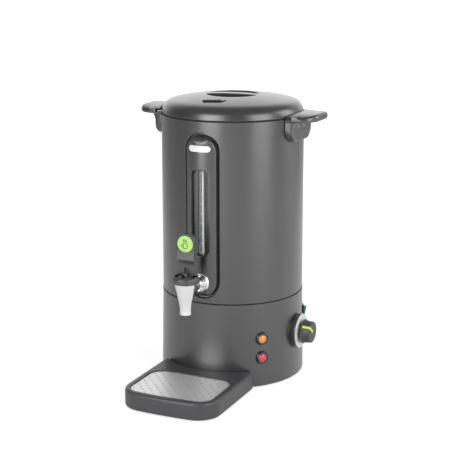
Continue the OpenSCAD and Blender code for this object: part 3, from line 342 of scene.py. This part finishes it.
WORN_BY = {
    paint: ["jacket"],
    graphite: ["base_housing"],
    black: ["cable_gland", "gland_nut", "lifter_pin", "lever_pin"],
    rubber: ["rubber_feet"],
    silicone: ["lower_seal", "upper_seal", "tap_washers", "seat_cup", "lid_seal"],
    steel: ["inner_tank", "lid_pan"],
    fastener: ["base_screws", "handle_screws", "handle_nuts", "lid_screws", "tap_nuts", "tap_stem",
               "tap_spring", "knob_shaft"],
    grille_steel: ["drip_grille"],
    zinc: ["base_plate"],
    cast: ["heat_plate"],
    sheath: ["heating_element"],
    brass: ["thermostat"],
    copper: ["sensor_bulb"],
    dial_white: ["dial_plate"],
    red_button: ["reset_button"],
    ceramic: ["terminal_block"],
    phenolic: ["cutout_body"],
    tube_clear: ["sight_tube"],
}
for material, nodes in WORN_BY.items():
    for name in nodes:
        solid = frame["nodes"][name]
        solid.data.materials.clear()
        solid.data.materials.append(material)


# ---------------------------------------------------------------- surfaces

SHARP_ANGLE = math.radians(50)


def grid_quads(rows, columns, closed_rows=False, closed_columns=False):
    """Quads of a grid of points stored row by row; a closed direction joins its last line to its first."""
    i, j = np.meshgrid(np.arange(rows - 1 + closed_rows), np.arange(columns - 1 + closed_columns),
                       indexing="ij")
    i2, j2 = (i + 1) % rows, (j + 1) % columns
    corners = [i * columns + j, i * columns + j2, i2 * columns + j2, i2 * columns + j]
    return np.stack(corners, -1).reshape(-1, 4)


def eased(corners, steps=6, ring=False):
    """Outline from corners (u, v, cut): each is a parabola that leaves its two sides a cut away."""
    p, cut = np.array(corners, float)[:, :2], np.array(corners, float)[:, 2]
    before, after = np.roll(p, 1, 0) - p, np.roll(p, -1, 0) - p
    reach_b, reach_a = np.linalg.norm(before, axis=1), np.linalg.norm(after, axis=1)
    cut = np.minimum(cut, 0.49 * np.minimum(reach_b, reach_a))
    if not ring:
        cut[[0, -1]] = 0.0
    start = p + before * (cut / reach_b)[:, None]
    end = p + after * (cut / reach_a)[:, None]
    s = np.linspace(0, 1, steps)[:, None, None]
    curve = (1 - s) ** 2 * start + 2 * s * (1 - s) * p + s ** 2 * end
    return curve.transpose(1, 0, 2).reshape(-1, 2)


def turned(profile, segments=128, ring=False):
    """Surface of revolution: a profile point (r, h) goes round to (r sin t, -r cos t, h)."""
    t = np.linspace(0, 2 * np.pi, segments, endpoint=False)
    r, h = profile[:, :1], profile[:, 1:2]
    points = np.stack([r * np.sin(t), -r * np.cos(t), h + 0 * t], -1)
    return points.reshape(-1, 3), grid_quads(len(profile), segments, ring, True)


def capped(rows):
    """Tube through closed outlines, one per row, shut at both ends by a fan to the outline's middle."""
    ends = [np.repeat(rows[i].mean(0)[None], rows.shape[1], 0)[None] for i in (0, -1)]
    rows = np.concatenate([ends[0], rows, ends[1]])
    return rows.reshape(-1, 3), grid_quads(rows.shape[0], rows.shape[1], False, True)


def stroke(path, width, height):
    """Flat bar along a plane path (x, y): a rectangle across it, from 0 up to its height."""
    along = np.gradient(path, axis=0)
    across = np.stack([-along[:, 1], along[:, 0]], -1) / np.linalg.norm(along, axis=1)[:, None] * width / 2
    left, right = path + across, path - across
    lift = np.full((len(path), 1), height)
    floor = np.zeros((len(path), 1))
    corners = [np.hstack(pair) for pair in ((left, floor), (left, lift), (right, lift), (right, floor))]
    return capped(np.stack(corners, 1))


def together(*surfaces):
    """Several surfaces as one list of points and faces."""
    points, faces, count = [], [], 0
    for p, f in surfaces:
        points.append(p)
        faces.append(f + count)
        count += len(p)
    return np.concatenate(points), np.concatenate(faces)


def outward(surface, azimuth, height):
    """Turns a surface so that its third axis runs straight out of the wall at an angle from the front."""
    x, y, h = surface[0].T
    a = math.radians(azimuth)
    turned_x = x * math.cos(a) + h * math.sin(a)
    turned_y = x * math.sin(a) - h * math.cos(a)
    return np.stack([turned_x, turned_y, height + y], -1), surface[1]


def shifted(surface, x=0.0, y=0.0, z=0.0):
    """A surface moved along the axes."""
    return surface[0] + np.array([x, y, z]), surface[1]


def settle(name, mesh, finish, body, stands_for):
    """Links a finished mesh as a piece that rides on a body."""
    mesh.materials.clear()
    mesh.materials.append(finish)
    made = bpy.data.objects.new(name, mesh)
    bpy.context.scene.collection.objects.link(made)
    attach(made, body)
    if stands_for:
        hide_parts(*stands_for)
    return made


def piece(name, surface, finish, body, stands_for=(), sharp=SHARP_ANGLE):
    """A new piece from points in millimetres and quads: doubles merged, smooth but for sharp edges."""
    mesh = bpy.data.meshes.new(name)
    mesh.from_pydata((surface[0] * MM).tolist(), [], surface[1].tolist())
    work = bmesh.new()
    work.from_mesh(mesh)
    bmesh.ops.remove_doubles(work, verts=work.verts, dist=1e-6)
    bmesh.ops.recalc_face_normals(work, faces=work.faces)
    work.to_mesh(mesh)
    work.free()
    mesh.polygons.foreach_set("use_smooth", [True] * len(mesh.polygons))
    mesh.set_sharp_from_angle(angle=sharp)
    return settle(name, mesh, finish, body, stands_for)


def moulded(name, node, voxel, passes, finish, reshape=None):
    """A solid's own shape meshed anew in even quads and relaxed, so that each edge becomes a soft round.

    A reshape function may then move the points, given and returned as columns x, y, z in millimetres."""
    mesh = frame["nodes"][node].data.copy()
    work = bmesh.new()
    work.from_mesh(mesh)
    bmesh.ops.remove_doubles(work, verts=work.verts, dist=1e-6)
    work.to_mesh(mesh)
    work.free()
    source = bpy.data.objects.new(name + "_source", mesh)
    bpy.context.scene.collection.objects.link(source)
    remesh = source.modifiers.new("even_quads", "REMESH")
    remesh.mode = "VOXEL"
    remesh.voxel_size = voxel * MM
    relax = source.modifiers.new("relaxed", "SMOOTH")
    relax.factor = 0.5
    relax.iterations = passes
    shaped = bpy.data.meshes.new_from_object(source.evaluated_get(bpy.context.evaluated_depsgraph_get()))
    bpy.data.objects.remove(source)
    if reshape:
        co = np.zeros(len(shaped.vertices) * 3)
        shaped.vertices.foreach_get("co", co)
        moved = np.stack(reshape(*(co.reshape(-1, 3).T / MM)), -1) * MM
        shaped.vertices.foreach_set("co", moved.ravel())
    shaped.polygons.foreach_set("use_smooth", [True] * len(shaped.polygons))
    return settle(name, shaped, finish, BODY_OF[node], [node])


# ---------------------------------------------------------------- lid

LID_TURN = math.radians(11)
LID_SEGMENTS = 432
LID_R = 110.3
LID_FOOT_Z = 415.2
SHOULDER_FULLNESS = (0.60, 0.74)
WALL_LEAN = 1.6
GRIP_R = 40.0
GRIP_BAR = 18.0
GRIP_FLOOR_Z = SHOULDER_Z + CROWN_RISE - 14.0
VENT_Y = -70.5
VENT_FLOOR_Z = 435.0
VENT_HALF_WIDTH = 18.5
VENT_HALF_DEPTH = 7.5
VENT_CORNER = 3.5
VENT_TAPER = 0.478
LID_UNDER_Z = 421.0


def unturned(x, y, middle_y=0.0):
    """A point in the lid's own turned axes, about a middle on the Y axis."""
    y = y - middle_y
    c, s = math.cos(LID_TURN), math.sin(LID_TURN)
    return x * c + y * s, y * c - x * s


def smooth_edge(distance, outside, inside):
    """From 0 to 1 on an S curve while a signed distance goes from outside to inside."""
    s = np.clip((distance - outside) / (inside - outside), 0, 1)
    return s * s * (3 - 2 * s)


def lid_shell():
    """Crown, shoulder and rim turned about the axis, then sunk where the finger pockets and the vent are.

    The crown is a shallow parabola, the shoulder a cubic curve that leaves it smoothly and comes down
    upright, and each recess draws the surface to its floor on an S curve of the distance to its edge."""
    reach = np.concatenate([np.linspace(0, 7, 5), np.arange(7.8, 44, 0.75), np.linspace(45, 61, 7),
                            np.arange(61.8, 81, 0.75), np.linspace(82, CROWN_EDGE, 5)])
    crown = np.stack([reach, SHOULDER_Z + CROWN_RISE * (1 - (reach / CROWN_R) ** 2)], -1)
    rise = crown[-1, 1] - LID_FOOT_Z - 1.0
    slope = 2 * CROWN_RISE * CROWN_EDGE / CROWN_R ** 2
    reach_out = SHOULDER_FULLNESS[0] * (LID_R - CROWN_EDGE)
    bend = np.array([crown[-1], crown[-1] + [reach_out, -slope * reach_out],
                     [LID_R - WALL_LEAN, LID_FOOT_Z + 1.0 + SHOULDER_FULLNESS[1] * rise],
                     [LID_R, LID_FOOT_Z + 1.0]])
    s = np.linspace(0, 1, 27)[1:, None]
    shoulder = ((1 - s) ** 3 * bend[0] + 3 * s * (1 - s) ** 2 * bend[1] + 3 * s ** 2 * (1 - s) * bend[2]
                + s ** 3 * bend[3])
    under = np.array([[LID_R - 0.25, LID_FOOT_Z + 0.2], [LID_R - 0.8, LID_FOOT_Z], [108.4, LID_FOOT_Z],
                      [108.4, 419.4], [90, LID_UNDER_Z], [0, LID_UNDER_Z]])
    points, quads = turned(np.concatenate([crown, shoulder, under]), LID_SEGMENTS)
    x, y, z = points.T
    on_top = np.arange(len(z)) < len(reach) * LID_SEGMENTS
    px, py = unturned(x, y)
    pocket = smooth_edge(np.minimum(GRIP_R - np.hypot(px, py), np.abs(py) - GRIP_BAR / 2), -0.8, 1.6)
    vx, vy = unturned(x, y, VENT_Y)
    straight = VENT_HALF_DEPTH - VENT_CORNER
    half_width = VENT_HALF_WIDTH - np.clip(straight - vy, 0, straight + VENT_HALF_DEPTH) * VENT_TAPER
    across = np.abs(vx) * VENT_HALF_WIDTH / half_width
    corner_x = np.maximum(across - (VENT_HALF_WIDTH - VENT_CORNER), 0)
    corner_y = np.maximum(np.abs(vy) - straight, 0)
    vent = smooth_edge(VENT_CORNER - np.hypot(corner_x, corner_y), -0.8, 1.2)
    z = np.where(on_top, z + (GRIP_FLOOR_Z - z) * pocket, z)
    z = np.where(on_top, z + (VENT_FLOOR_Z - z) * vent, z)
    return np.stack([x, y, z], -1), quads


def rim_arc(r0, r1, z0, z1, cut, start, end):
    """Bar along the rim: a rounded section, radius against height, carried round between two angles."""
    section = eased([(r0, z0, 0.2), (r1, z0, cut), (r1, z1, cut), (r0, z1, 0.2)], 5, True)
    a = np.radians(np.linspace(start, end, 12))[:, None]
    r, z = section[:, 0], section[:, 1]
    return capped(np.stack([r * np.cos(a), r * np.sin(a), z + 0 * a], -1))


LUG_HALF_ANGLE = 3.3
lugs = [rim_arc(108.5, 117, 415.5, 417.2, 0.7, middle - LUG_HALF_ANGLE, middle + LUG_HALF_ANGLE)
        for middle in (27, 207)]
piece("lid_shell", together(lid_shell(), *lugs), lid_shaded_finish, "lid",
      ["lid_cover"], math.radians(60))
# Near-black bead in the seam under the lid: painted shadow for the dark seam line.
rim_bead = eased([(109.0, 413.8, 0.3), (110.75, 413.8, 0.3), (110.75, 416.3, 0.4), (109.0, 416.3, 0.1)],
                 5, True)
piece("lid_rim_shade_bead", turned(rim_bead, 160, True), seam_shade_black, "lid")


def steam_slots():
    """Three near-black plates in the floor of the vent, each a bar with round ends: painted shade for the
    dark inside of open steam slots.
    """
    ends = np.linspace(0, 2 * np.pi, 24, endpoint=False)
    outline = np.stack([0.75 * np.cos(ends) + np.where(np.cos(ends) > 0, 8.25, -8.25),
                        0.75 * np.sin(ends)], -1)
    slots = []
    for lift in (-3, 0, 3):
        x, y = outline[:, 0], outline[:, 1] + lift
        turned_x = x * math.cos(LID_TURN) - y * math.sin(LID_TURN)
        turned_y = x * math.sin(LID_TURN) + y * math.cos(LID_TURN) + VENT_Y
        slots.append(capped(np.stack([np.stack([turned_x, turned_y, 0 * x + z], -1)
                                      for z in (VENT_FLOOR_Z - 2, VENT_FLOOR_Z + 0.12)])))
    return together(*slots)


# Painted shade: the slots are solid near-black plates, not openings.
piece("steam_slots", steam_slots(), gloss_black, "lid")


# ---------------------------------------------------------------- seams, handles, panel, lever, tray

# Near-black bead in the seam between jacket and base: painted shadow for the dark seam line.
seam_bead = eased([(110.4, 134.5, 0.2), (111.65, 134.5, 0.4), (111.65, 136.0, 0.4), (110.4, 136.0, 0.2)],
                  5, True)
piece("base_seam_shade_bead", turned(seam_bead, 160, True), seam_shade_black, "urn")

HANDLE_TOP_Z = 422.0
HANDLE_HALF_WIDTH = 42.5
SLOT_CEILING_Z = 418.6


def domed_handle(x, y, z):
    """The plate's top falls away towards its front and back edges with the cube of the way out.

    Beyond the lug slots the whole thickness follows; over a slot only what lies above its ceiling does."""
    beyond = smooth_edge(np.abs(x), 121, 128)
    base = SLOT_CEILING_Z - 7.0 * beyond
    upper = np.clip((z - base) / (HANDLE_TOP_Z - base), 0, 1)
    fall = 3.4 + 1.6 * beyond
    return x, y, z - fall * upper * np.abs(y / HANDLE_HALF_WIDTH) ** 3


def wide_neck(x, y, z):
    """The lever's neck is a little wider than its fork, easing in below the lip."""
    return x * (1 + 0.14 * smooth_edge(214.0 - z, 0, 4)), y, z


moulded("right_handle", "handle_right", 0.8, 7, graphite, domed_handle)
moulded("left_handle", "handle_left", 0.8, 7, graphite, domed_handle)

SLOT_END_ANGLES = ((-20.7, -10.0), (159.3, 170.0))
slot_ends = [rim_arc(110.9, 120.6, 413.2, 418.9, 0.4, *angles) for angles in SLOT_END_ANGLES]
piece("lug_slot_ends", together(*slot_ends), graphite, "urn")
moulded("gauge_face", "gauge_panel", 0.9, 4, graphite)
moulded("badge", "badge_plate", 0.25, 5, badge_white)
moulded("lever_paddle", "tap_lever", 0.42, 8, lever_grey, wide_neck)
moulded("tray_body", "drip_tray", 1.0, 12, tray_black)
moulded("switch_surround", "switch_frame", 0.35, 4, gloss_black)

rocker_side = eased([(-7.0, -2.4, 0.8), (7.0, -2.4, 0.8), (9.0, 2.2, 0.8), (9.0, 7.4, 1.2), (0.4, 5.2, 5),
                     (-9.0, 3.4, 1.2), (-8.8, 1.8, 0.8)], 8, True)
ROCKER_R = 111.56
SWITCH_AZIMUTH = 115
SWITCH_Z = 91
rocker_width = np.array([-4.9, -4.6, 4.6, 4.9])[:, None]
rocker_rows = np.stack([rocker_width + 0 * rocker_side[:, 0], rocker_side[:, 0] - 0.02 * rocker_width ** 2,
                        rocker_side[:, 1] + 0 * rocker_width], -1)
piece("switch_rocker", outward(shifted(capped(rocker_rows), z=ROCKER_R), SWITCH_AZIMUTH, SWITCH_Z), green,
      "rocker_key", ["rocker"])


# ---------------------------------------------------------------- sight tube scale

TUBE_Y = -114.2
SCALE_Z = (209.0, 346.0)
TICK_PITCH = 15.0
# The stripe is partly a white scale strip and partly a painted reflection of the lamps down the glass.
STRIPE_AZIMUTHS = (48, 116)
TICK_AZIMUTHS = (22, 48)


def on_tube(azimuths, z0, z1, outer=4.78, wall=0.2):
    """Part of a thin ring printed on the tube, between two azimuths and two heights."""
    a = np.radians(np.linspace(*azimuths, 12))
    arc = np.concatenate([np.stack([outer * np.sin(a), -outer * np.cos(a)], -1),
                          np.stack([(outer - wall) * np.sin(a), -(outer - wall) * np.cos(a)], -1)[::-1]])
    rows = [np.hstack([arc, np.full((len(arc), 1), z)]) for z in (z0, z1)]
    return shifted(capped(np.stack(rows)), y=TUBE_Y)


# White stripe: partly the scale strip, partly a painted reflection on the right side of the glass.
piece("level_stripe_and_reflection", on_tube(STRIPE_AZIMUTHS, *SCALE_Z), scale_and_reflection_white, "urn")
ticks = [on_tube(TICK_AZIMUTHS, z - 0.35, z + 0.35) for z in np.arange(217.0, 342.0, TICK_PITCH)]
piece("level_ticks", together(*ticks), scale_and_reflection_white, "urn")


# ---------------------------------------------------------------- tap

TAP_Z = 170.5
PANEL_FACE = 118.95

spout = turned(eased([(5.5, 134.3, 0.3), (6.3, 133.5, 0.6), (8.3, 133.5, 1.0), (8.95, 134.8, 1.2),
                      (8.7, 140.5, 4), (9.5, 149.5, 6), (16.3, 181.2, 1.2), (16.9, 182.5, 0.5),
                      (16.9, 183.0, 0.2), (16, 184.6, 0.3), (10, 184.6, 0.3), (10, 158, 0.3),
                      (5.5, 158, 0.3)], 9, True), 160, True)
shank = turned(eased([(4.5, 87.7, 0.2), (8, 87.7, 0.6), (8, 124.9, 1.5), (10, 154, 1), (10, 160, 0.5),
                      (4.5, 160, 0.2)], 6, True), 96, True)
riser = turned(eased([(2, 172, 0.2), (3.4, 172, 0.2), (3.4, 195.4, 0.4), (2, 195.4, 0.3)], 4, True), 48, True)
tap_parts = together(shifted(spout, y=TAP_Y), outward(shank, 0, TAP_Z), shifted(riser, y=TUBE_Y))
piece("spout_and_shank", tap_parts, chrome, "urn", ["tap_body"])
rosette = turned(eased([(8.06, 0.1, 0.1), (15.3, 0.1, 0.1), (15.3, 2.0, 1.6), (12.9, 4.6, 1.6),
                        (11.4, 2.6, 1.0), (9.9, 2.6, 0.8), (9.6, 5.3, 0.6), (8.06, 5.3, 0.2)], 9, True),
                 128, True)
piece("tap_rosette", outward(shifted(rosette, z=PANEL_FACE), 0, TAP_Z), chrome, "urn",
      ["tap_flange"])
bonnet = turned(eased([(16.05, 182.8, 0.2), (19.2, 182.8, 0.6), (20.1, 183.7, 1.0), (20.1, 190.6, 2.2),
                       (18.0, 193.0, 1.2), (14.9, 193.0, 0.6), (14.9, 187.0, 0.6), (2.6, 187.0, 0.3),
                       (2.6, 184.8, 0.2), (16.05, 184.8, 0.2)], 8, True), 144, True)
piece("tap_cap", shifted(bonnet, y=TAP_Y), cap_shaded_finish, "urn", ["tap_bonnet"])

SPRING_Z = [corner[2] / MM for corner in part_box("tap_spring")]


def coil(turns=6.0, wire=0.62):
    """Closing spring: a round wire carried along a helix between the stem's collar and the cap."""
    low_z, high_z = SPRING_Z[0] + wire, SPRING_Z[1] - wire
    s = np.linspace(0, 1, int(turns * 28))[:, None]
    a = 2 * np.pi * turns * s
    ring = np.linspace(0, 2 * np.pi, 10, endpoint=False)
    reach = 4.6 + wire * np.cos(ring)
    return capped(np.stack([reach * np.sin(a), TAP_Y - reach * np.cos(a),
                            low_z + (high_z - low_z) * s + wire * np.sin(ring)], -1))


closing_spring = piece("closing_spring", coil(), fastener, "urn", ["tap_spring"])
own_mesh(closing_spring)

DISC_Z = 241.7
disc = turned(eased([(0, 168.0, 0), (12.55, 168.0, 0.1), (12.6, 168.7, 0.4), (11.8, 169.25, 0.8),
                     (0, 169.6, 0)], 8), 96)
piece("lever_button", outward(disc, 0, DISC_Z), lime, "lever", ["lever_disc"])


def cup_symbol():
    """Plain cup with a handle under three wisps of steam, as thin raised strokes on the button."""
    a = np.linspace(0, np.pi, 14)
    bowl = np.stack([-2.2 * np.cos(a), -3.4 - 1.1 * np.sin(a)], -1)
    cup = np.concatenate([[[-2.6, 1.2]], bowl, [[2.6, 1.2]]])
    rim = np.array([[-2.7, 1.2], [0.0, 1.2], [2.7, 1.2]])
    handle = np.stack([-2.6 - 1.7 * np.sin(a), -1.4 + 1.4 * np.cos(a)], -1)
    s = np.linspace(0, 1, 12)
    wisps = [np.stack([x + 0.45 * np.sin(2 * np.pi * s), 2.5 + 3.0 * s], -1) for x in (-1.7, 0.0, 1.7)]
    return together(*[stroke(line * 1.35 - [-0.6, 0.6], 0.8, 0.3) for line in (cup, rim, handle, *wisps)])


piece("cup_symbol", outward(shifted(cup_symbol(), z=169.42), 0, DISC_Z), symbol_green, "lever")


# ---------------------------------------------------------------- lamps

LAMP_AZIMUTH = 47.9
LAMP_Z = (48.6, 79.0)


def wall_radius(z):
    """Radius of the flared base wall at a height."""
    return 113.7 - 2.3 * (z - 2) / 133


lamp_ring = turned(eased([(6.9, -8, 0.2), (8.1, -8, 0.2), (8.1, 0, 0.2), (10.3, 0, 0.3), (10.3, 1.6, 1.4),
                          (8.6, 4.0, 1.0), (7.3, 3.7, 0.5), (6.9, 1.0, 0.2)], 8, True), 96, True)
lamp_liner = turned(eased([(6.3, -2, 0.1), (6.85, -2, 0.1), (7.25, 3.2, 0.3), (6.7, 4.1, 0.4),
                           (6.3, 3.3, 0.2)], 6, True), 72, True)
dome_angle = np.linspace(0, np.pi / 2, 12)
dome_curve = np.stack([6.2 * np.cos(dome_angle), 3.4 + 2.9 * np.sin(dome_angle)], -1)
lens_dome = turned(np.concatenate([[[0, -7.8], [5.9, -7.8], [6.2, -7.4]], dome_curve]), 72)


def on_lamp(surface, level):
    """A lamp part in its place on the wall."""
    z = LAMP_Z[level]
    return outward(shifted(surface, z=wall_radius(z) - 0.6), LAMP_AZIMUTH, z)


piece("lamp_rings", together(on_lamp(lamp_ring, 0), on_lamp(lamp_ring, 1)), gloss_black, "urn",
      ["lamp_bezels"])
piece("lamp_liners", together(on_lamp(lamp_liner, 0), on_lamp(lamp_liner, 1)), collar, "urn")
piece("amber_dome", on_lamp(lens_dome, 1), amber, "urn", ["amber_lens"])
piece("red_dome", on_lamp(lens_dome, 0), red, "urn", ["red_lens"])


# ---------------------------------------------------------------- knob and dial

KNOB_Z = 73.8
DIAL_X = 119.0
KNOB_X = 121.4
KNOB_LEN = 17.0
EDGE_ROUND = 1.8
SKIRT_H = 2.2
GRIP_FRONT_R = 16.9
POINTER_ANGLE = 140
POINTER_W = 3.9

collar_outline = eased([(9, 96, 0.3), (18, 96, 0.3), (23.8, 107.5, 4), (28.1, 117.4, 3), (27.25, 119.15, 0.5),
                        (27.25, 117.3, 0.2), (5, 117.3, 0.2), (5, 112, 0.2), (9, 112, 0.2)], 9, True)
piece("knob_collar", outward(turned(collar_outline, 144, True), 90, KNOB_Z), graphite, "urn",
      ["knob_bezel"])


def grip_radius(h):
    """Knob radius at a height above its foot: a slight taper, flaring out in a hollow curve at the skirt."""
    return GRIP_FRONT_R + 0.04 * (KNOB_LEN - h) + 1.9 * np.exp(-np.maximum(h - SKIRT_H - 0.7, 0) / 2.3)


grip_h = np.concatenate([np.linspace(SKIRT_H + 0.7, 9, 14), np.linspace(10, KNOB_LEN - EDGE_ROUND, 5)])
edge_angle = np.linspace(0, np.pi / 2, 8)
edge_r = grip_radius(KNOB_LEN - EDGE_ROUND) - EDGE_ROUND


def round_edge(angle):
    """Points of the knob's rounded front edge, radius against height, from the side to the face."""
    out = edge_r + EDGE_ROUND * np.cos(angle)
    return np.stack([out, KNOB_LEN - EDGE_ROUND + EDGE_ROUND * np.sin(angle)], -1)


grip_outline = np.concatenate([
    [[3.05, 0.0], [12.0, 0.0], [12.3, SKIRT_H - 0.2], [18.8, SKIRT_H], [19.3, SKIRT_H + 0.3]],
    np.stack([grip_radius(grip_h), grip_h], -1),
    round_edge(edge_angle),
    [[edge_r - 2, KNOB_LEN + 0.05], [0, KNOB_LEN + 0.12]], [[0, 12.9], [3.05, 12.9]]])
knob_surface = shifted(turned(grip_outline, 144, True), z=KNOB_X)
piece("knob_grip", outward(knob_surface, 90, KNOB_Z), knob_grey, "knob", ["control_knob"])


def knob_mark():
    """Bar with rounded sides that follows the knob's outline from the skirt to the middle of its face."""
    foot = np.linspace(4.6, KNOB_LEN - EDGE_ROUND, 10)
    a = np.linspace(0, np.pi / 2, 8)[1:]
    line = np.concatenate([np.stack([grip_radius(foot), foot], -1),
                           round_edge(a),
                           [[8.0, KNOB_LEN + 0.04], [1.6, KNOB_LEN + 0.1]]])
    along = np.gradient(line, axis=0)
    normal = np.stack([along[:, 1], -along[:, 0]], -1) / np.linalg.norm(along, axis=1)[:, None]
    section = eased([(-POINTER_W / 2, -0.5, 0.1), (POINTER_W / 2, -0.5, 0.1), (POINTER_W / 2, 0.35, 0.35),
                     (-POINTER_W / 2, 0.35, 0.35)], 4, True)
    out = line[:, None, :] + normal[:, None, :] * section[None, :, 1:2]
    side = np.broadcast_to(section[:, 0], out.shape[:2])
    c, s = math.cos(math.radians(POINTER_ANGLE)), math.sin(math.radians(POINTER_ANGLE))
    return capped(np.stack([out[..., 0] * c - side * s, out[..., 0] * s + side * c, out[..., 1]], -1))


piece("knob_mark", outward(shifted(knob_mark(), z=KNOB_X), 90, KNOB_Z), pointer_lime, "knob",
      ["knob_pointer"])


DIAL_NUMBERS = ("0", "30", "50", "70", "90", "110")
DIAL_START = -30
NUMBER_STEP = 48
TICK_STEP = 12
NUMBER_R = 23.6
NUMBER_SIZE = 3.6
PRINT_LIFT = 0.02


def dial_numbers():
    """Temperatures round the dial, each turned to stand along its radius, as triangles."""
    surfaces = []
    for i, words in enumerate(DIAL_NUMBERS):
        a = math.radians(DIAL_START + i * NUMBER_STEP)
        font = bpy.data.curves.new("number", "FONT")
        font.body = words
        font.size = NUMBER_SIZE
        font.extrude = 0.05
        font.align_x, font.align_y = "CENTER", "CENTER"
        holder = bpy.data.objects.new("number", font)
        bpy.context.scene.collection.objects.link(holder)
        flat = bpy.data.meshes.new_from_object(holder.evaluated_get(bpy.context.evaluated_depsgraph_get()))
        bpy.data.objects.remove(holder)
        flat.calc_loop_triangles()
        co = np.zeros(len(flat.vertices) * 3)
        flat.vertices.foreach_get("co", co)
        tri = np.zeros(len(flat.loop_triangles) * 3, int)
        flat.loop_triangles.foreach_get("vertices", tri)
        x, y, h = co.reshape(-1, 3).T
        turn = np.pi / 2 - a
        points = np.stack([x * math.cos(turn) + y * math.sin(turn), y * math.cos(turn) - x * math.sin(turn),
                           h + PRINT_LIFT], -1)
        middle = [NUMBER_R * math.cos(a), NUMBER_R * math.sin(a), 0]
        surfaces.append((points + middle, tri.reshape(-1, 3)))
    return surfaces


def dial_print():
    """The ticks and the numbers as one list of points and one of faces, quads and triangles."""
    ticks = []
    for i in range(21):
        a = math.radians(DIAL_START + i * TICK_STEP)
        way = np.array([math.cos(a), math.sin(a)])
        ticks.append(stroke(np.array([20.3, 20.9, 21.5])[:, None] * way, 0.35, 0.06))
    points, quads = together(*ticks)
    faces = [list(q) for q in quads.tolist()]
    for p, tri in dial_numbers():
        faces += (tri + len(points)).tolist()
        points = np.concatenate([points, p])
    return points, faces


marks, mark_faces = dial_print()
marks = outward((marks + [0, 0, DIAL_X], None), 90, KNOB_Z)[0]
mark_mesh = bpy.data.meshes.new("dial_print")
mark_mesh.from_pydata((marks * MM).tolist(), [], mark_faces)
settle("dial_print", mark_mesh, print_grey, "urn", ())


# ---------------------------------------------------------------- camera

VIEW_AZIMUTH = math.radians(24.5)
VIEW_PITCH = math.radians(13.58)
VIEW_DISTANCE = 1.896
VIEW_HEIGHT = 0.690
FOCAL_PX = 1228.0
FRAME_PX = 452.0
AXIS_PX = 232.76

view = bpy.data.cameras.new("view")
view.sensor_width = 36.0
view.lens = 36.0 * FOCAL_PX / FRAME_PX
view.shift_x = (FRAME_PX / 2 - AXIS_PX) / FRAME_PX
camera = bpy.data.objects.new("view", view)
camera.location = (VIEW_DISTANCE * math.sin(VIEW_AZIMUTH), -VIEW_DISTANCE * math.cos(VIEW_AZIMUTH),
                   VIEW_HEIGHT)
camera.rotation_euler = (math.pi / 2 - VIEW_PITCH, 0, VIEW_AZIMUTH)
bpy.context.scene.collection.objects.link(camera)
bpy.context.scene.camera = camera
bpy.context.scene.view_settings.view_transform = "Standard"


# ---------------------------------------------------------------- light, floor and studio

def softbox(name, bearing, height, distance, width, tall, watts):
    """Tall soft lamp at a bearing from the camera, aimed at the middle of the object."""
    lamp = bpy.data.lights.new(name, "AREA")
    lamp.shape, lamp.size, lamp.size_y, lamp.energy = "RECTANGLE", width, tall, watts
    a = VIEW_AZIMUTH + math.radians(bearing)
    stand = np.array([distance * math.sin(a), -distance * math.cos(a), height])
    aim = np.array([0, 0, 0.22]) - stand
    holder = bpy.data.objects.new(name, lamp)
    holder.location = stand
    tilt = math.acos(-aim[2] / np.linalg.norm(aim))
    holder.rotation_euler = (tilt, 0, math.atan2(aim[1], aim[0]) - math.pi / 2)
    bpy.context.scene.collection.objects.link(holder)


softbox("key_left", -35, 0.82, 1.9, 1.1, 1.5, 24)
softbox("fill_right", 46, 0.82, 1.9, 1.1, 1.5, 19)
softbox("side_right", 98, 0.9, 1.9, 0.9, 1.4, 12)


def studio():
    """World light: white wall behind the object, grey room in front, dim ceiling; white where seen."""
    world = bpy.data.worlds.new("studio")
    world.use_nodes = True
    bpy.context.scene.world = world
    sky = Nodes(world.node_tree)
    x, y, z = sky.parts(sky.node("TexCoord", {}, out=0))
    behind = y * math.cos(VIEW_AZIMUTH) - x * math.sin(VIEW_AZIMUTH)
    wall = ((behind - 0.5) / 0.45).clip() * 1.05 + 0.14
    up = ((z - 0.42) / 0.4).clip()
    level = wall * (1 - up) + up * 0.26
    path = sky.node("LightPath").socket.node.outputs
    seen = (Value(sky, path["Is Camera Ray"]) + Value(sky, path["Is Transmission Ray"])).clip()
    background = world.node_tree.nodes["Background"]
    sky.fill(background.inputs["Strength"], level * (1 - seen) + seen)
    background.inputs["Color"].default_value = (1, 1, 1, 1)


studio()

floor_finish = Finish("pale_floor", Roughness=0.9)
floor_tone = floor_finish.mix(floor_finish.noise(3.0), (0.78, 0.78, 0.78), (0.82, 0.82, 0.82))
floor_finish.set("Base Color", floor_tone)
floor_path = floor_finish.node("LightPath").socket.node.outputs
floor_x, floor_y, _ = floor_finish.parts(floor_finish.place())
far = (((floor_x ** 2 + floor_y ** 2) ** 0.5 - 0.5) / 1.5).clip()
aside = (floor_x * math.cos(VIEW_AZIMUTH) + floor_y * math.sin(VIEW_AZIMUTH)) ** 2
strip = (((1.1 - aside) / 0.9).clip() * 0.55 + 0.1) * (far * 0.7 + 0.3)
seen_level = Value(floor_finish, floor_path["Is Camera Ray"]) * (far * 0.38 + 0.62)
shine_level = Value(floor_finish, floor_path["Is Glossy Ray"]) * strip
glow = floor_finish.mix((seen_level + shine_level).clip(), (0, 0, 0), (1, 1, 1))
floor_finish.set("Emission Color", glow)
floor_finish.set("Emission Strength", 1.0)
floor_mesh = bpy.data.meshes.new("floor")
FLOOR_HALF = 12.0
floor_corners = [(x * FLOOR_HALF, y * FLOOR_HALF, 0) for x, y in ((-1, -1), (1, -1), (1, 1), (-1, 1))]
floor_mesh.from_pydata(floor_corners, [], [(0, 1, 2, 3)])
floor_mesh.materials.append(floor_finish.material)
floor = bpy.data.objects.new("floor", floor_mesh)
bpy.context.scene.collection.objects.link(floor)
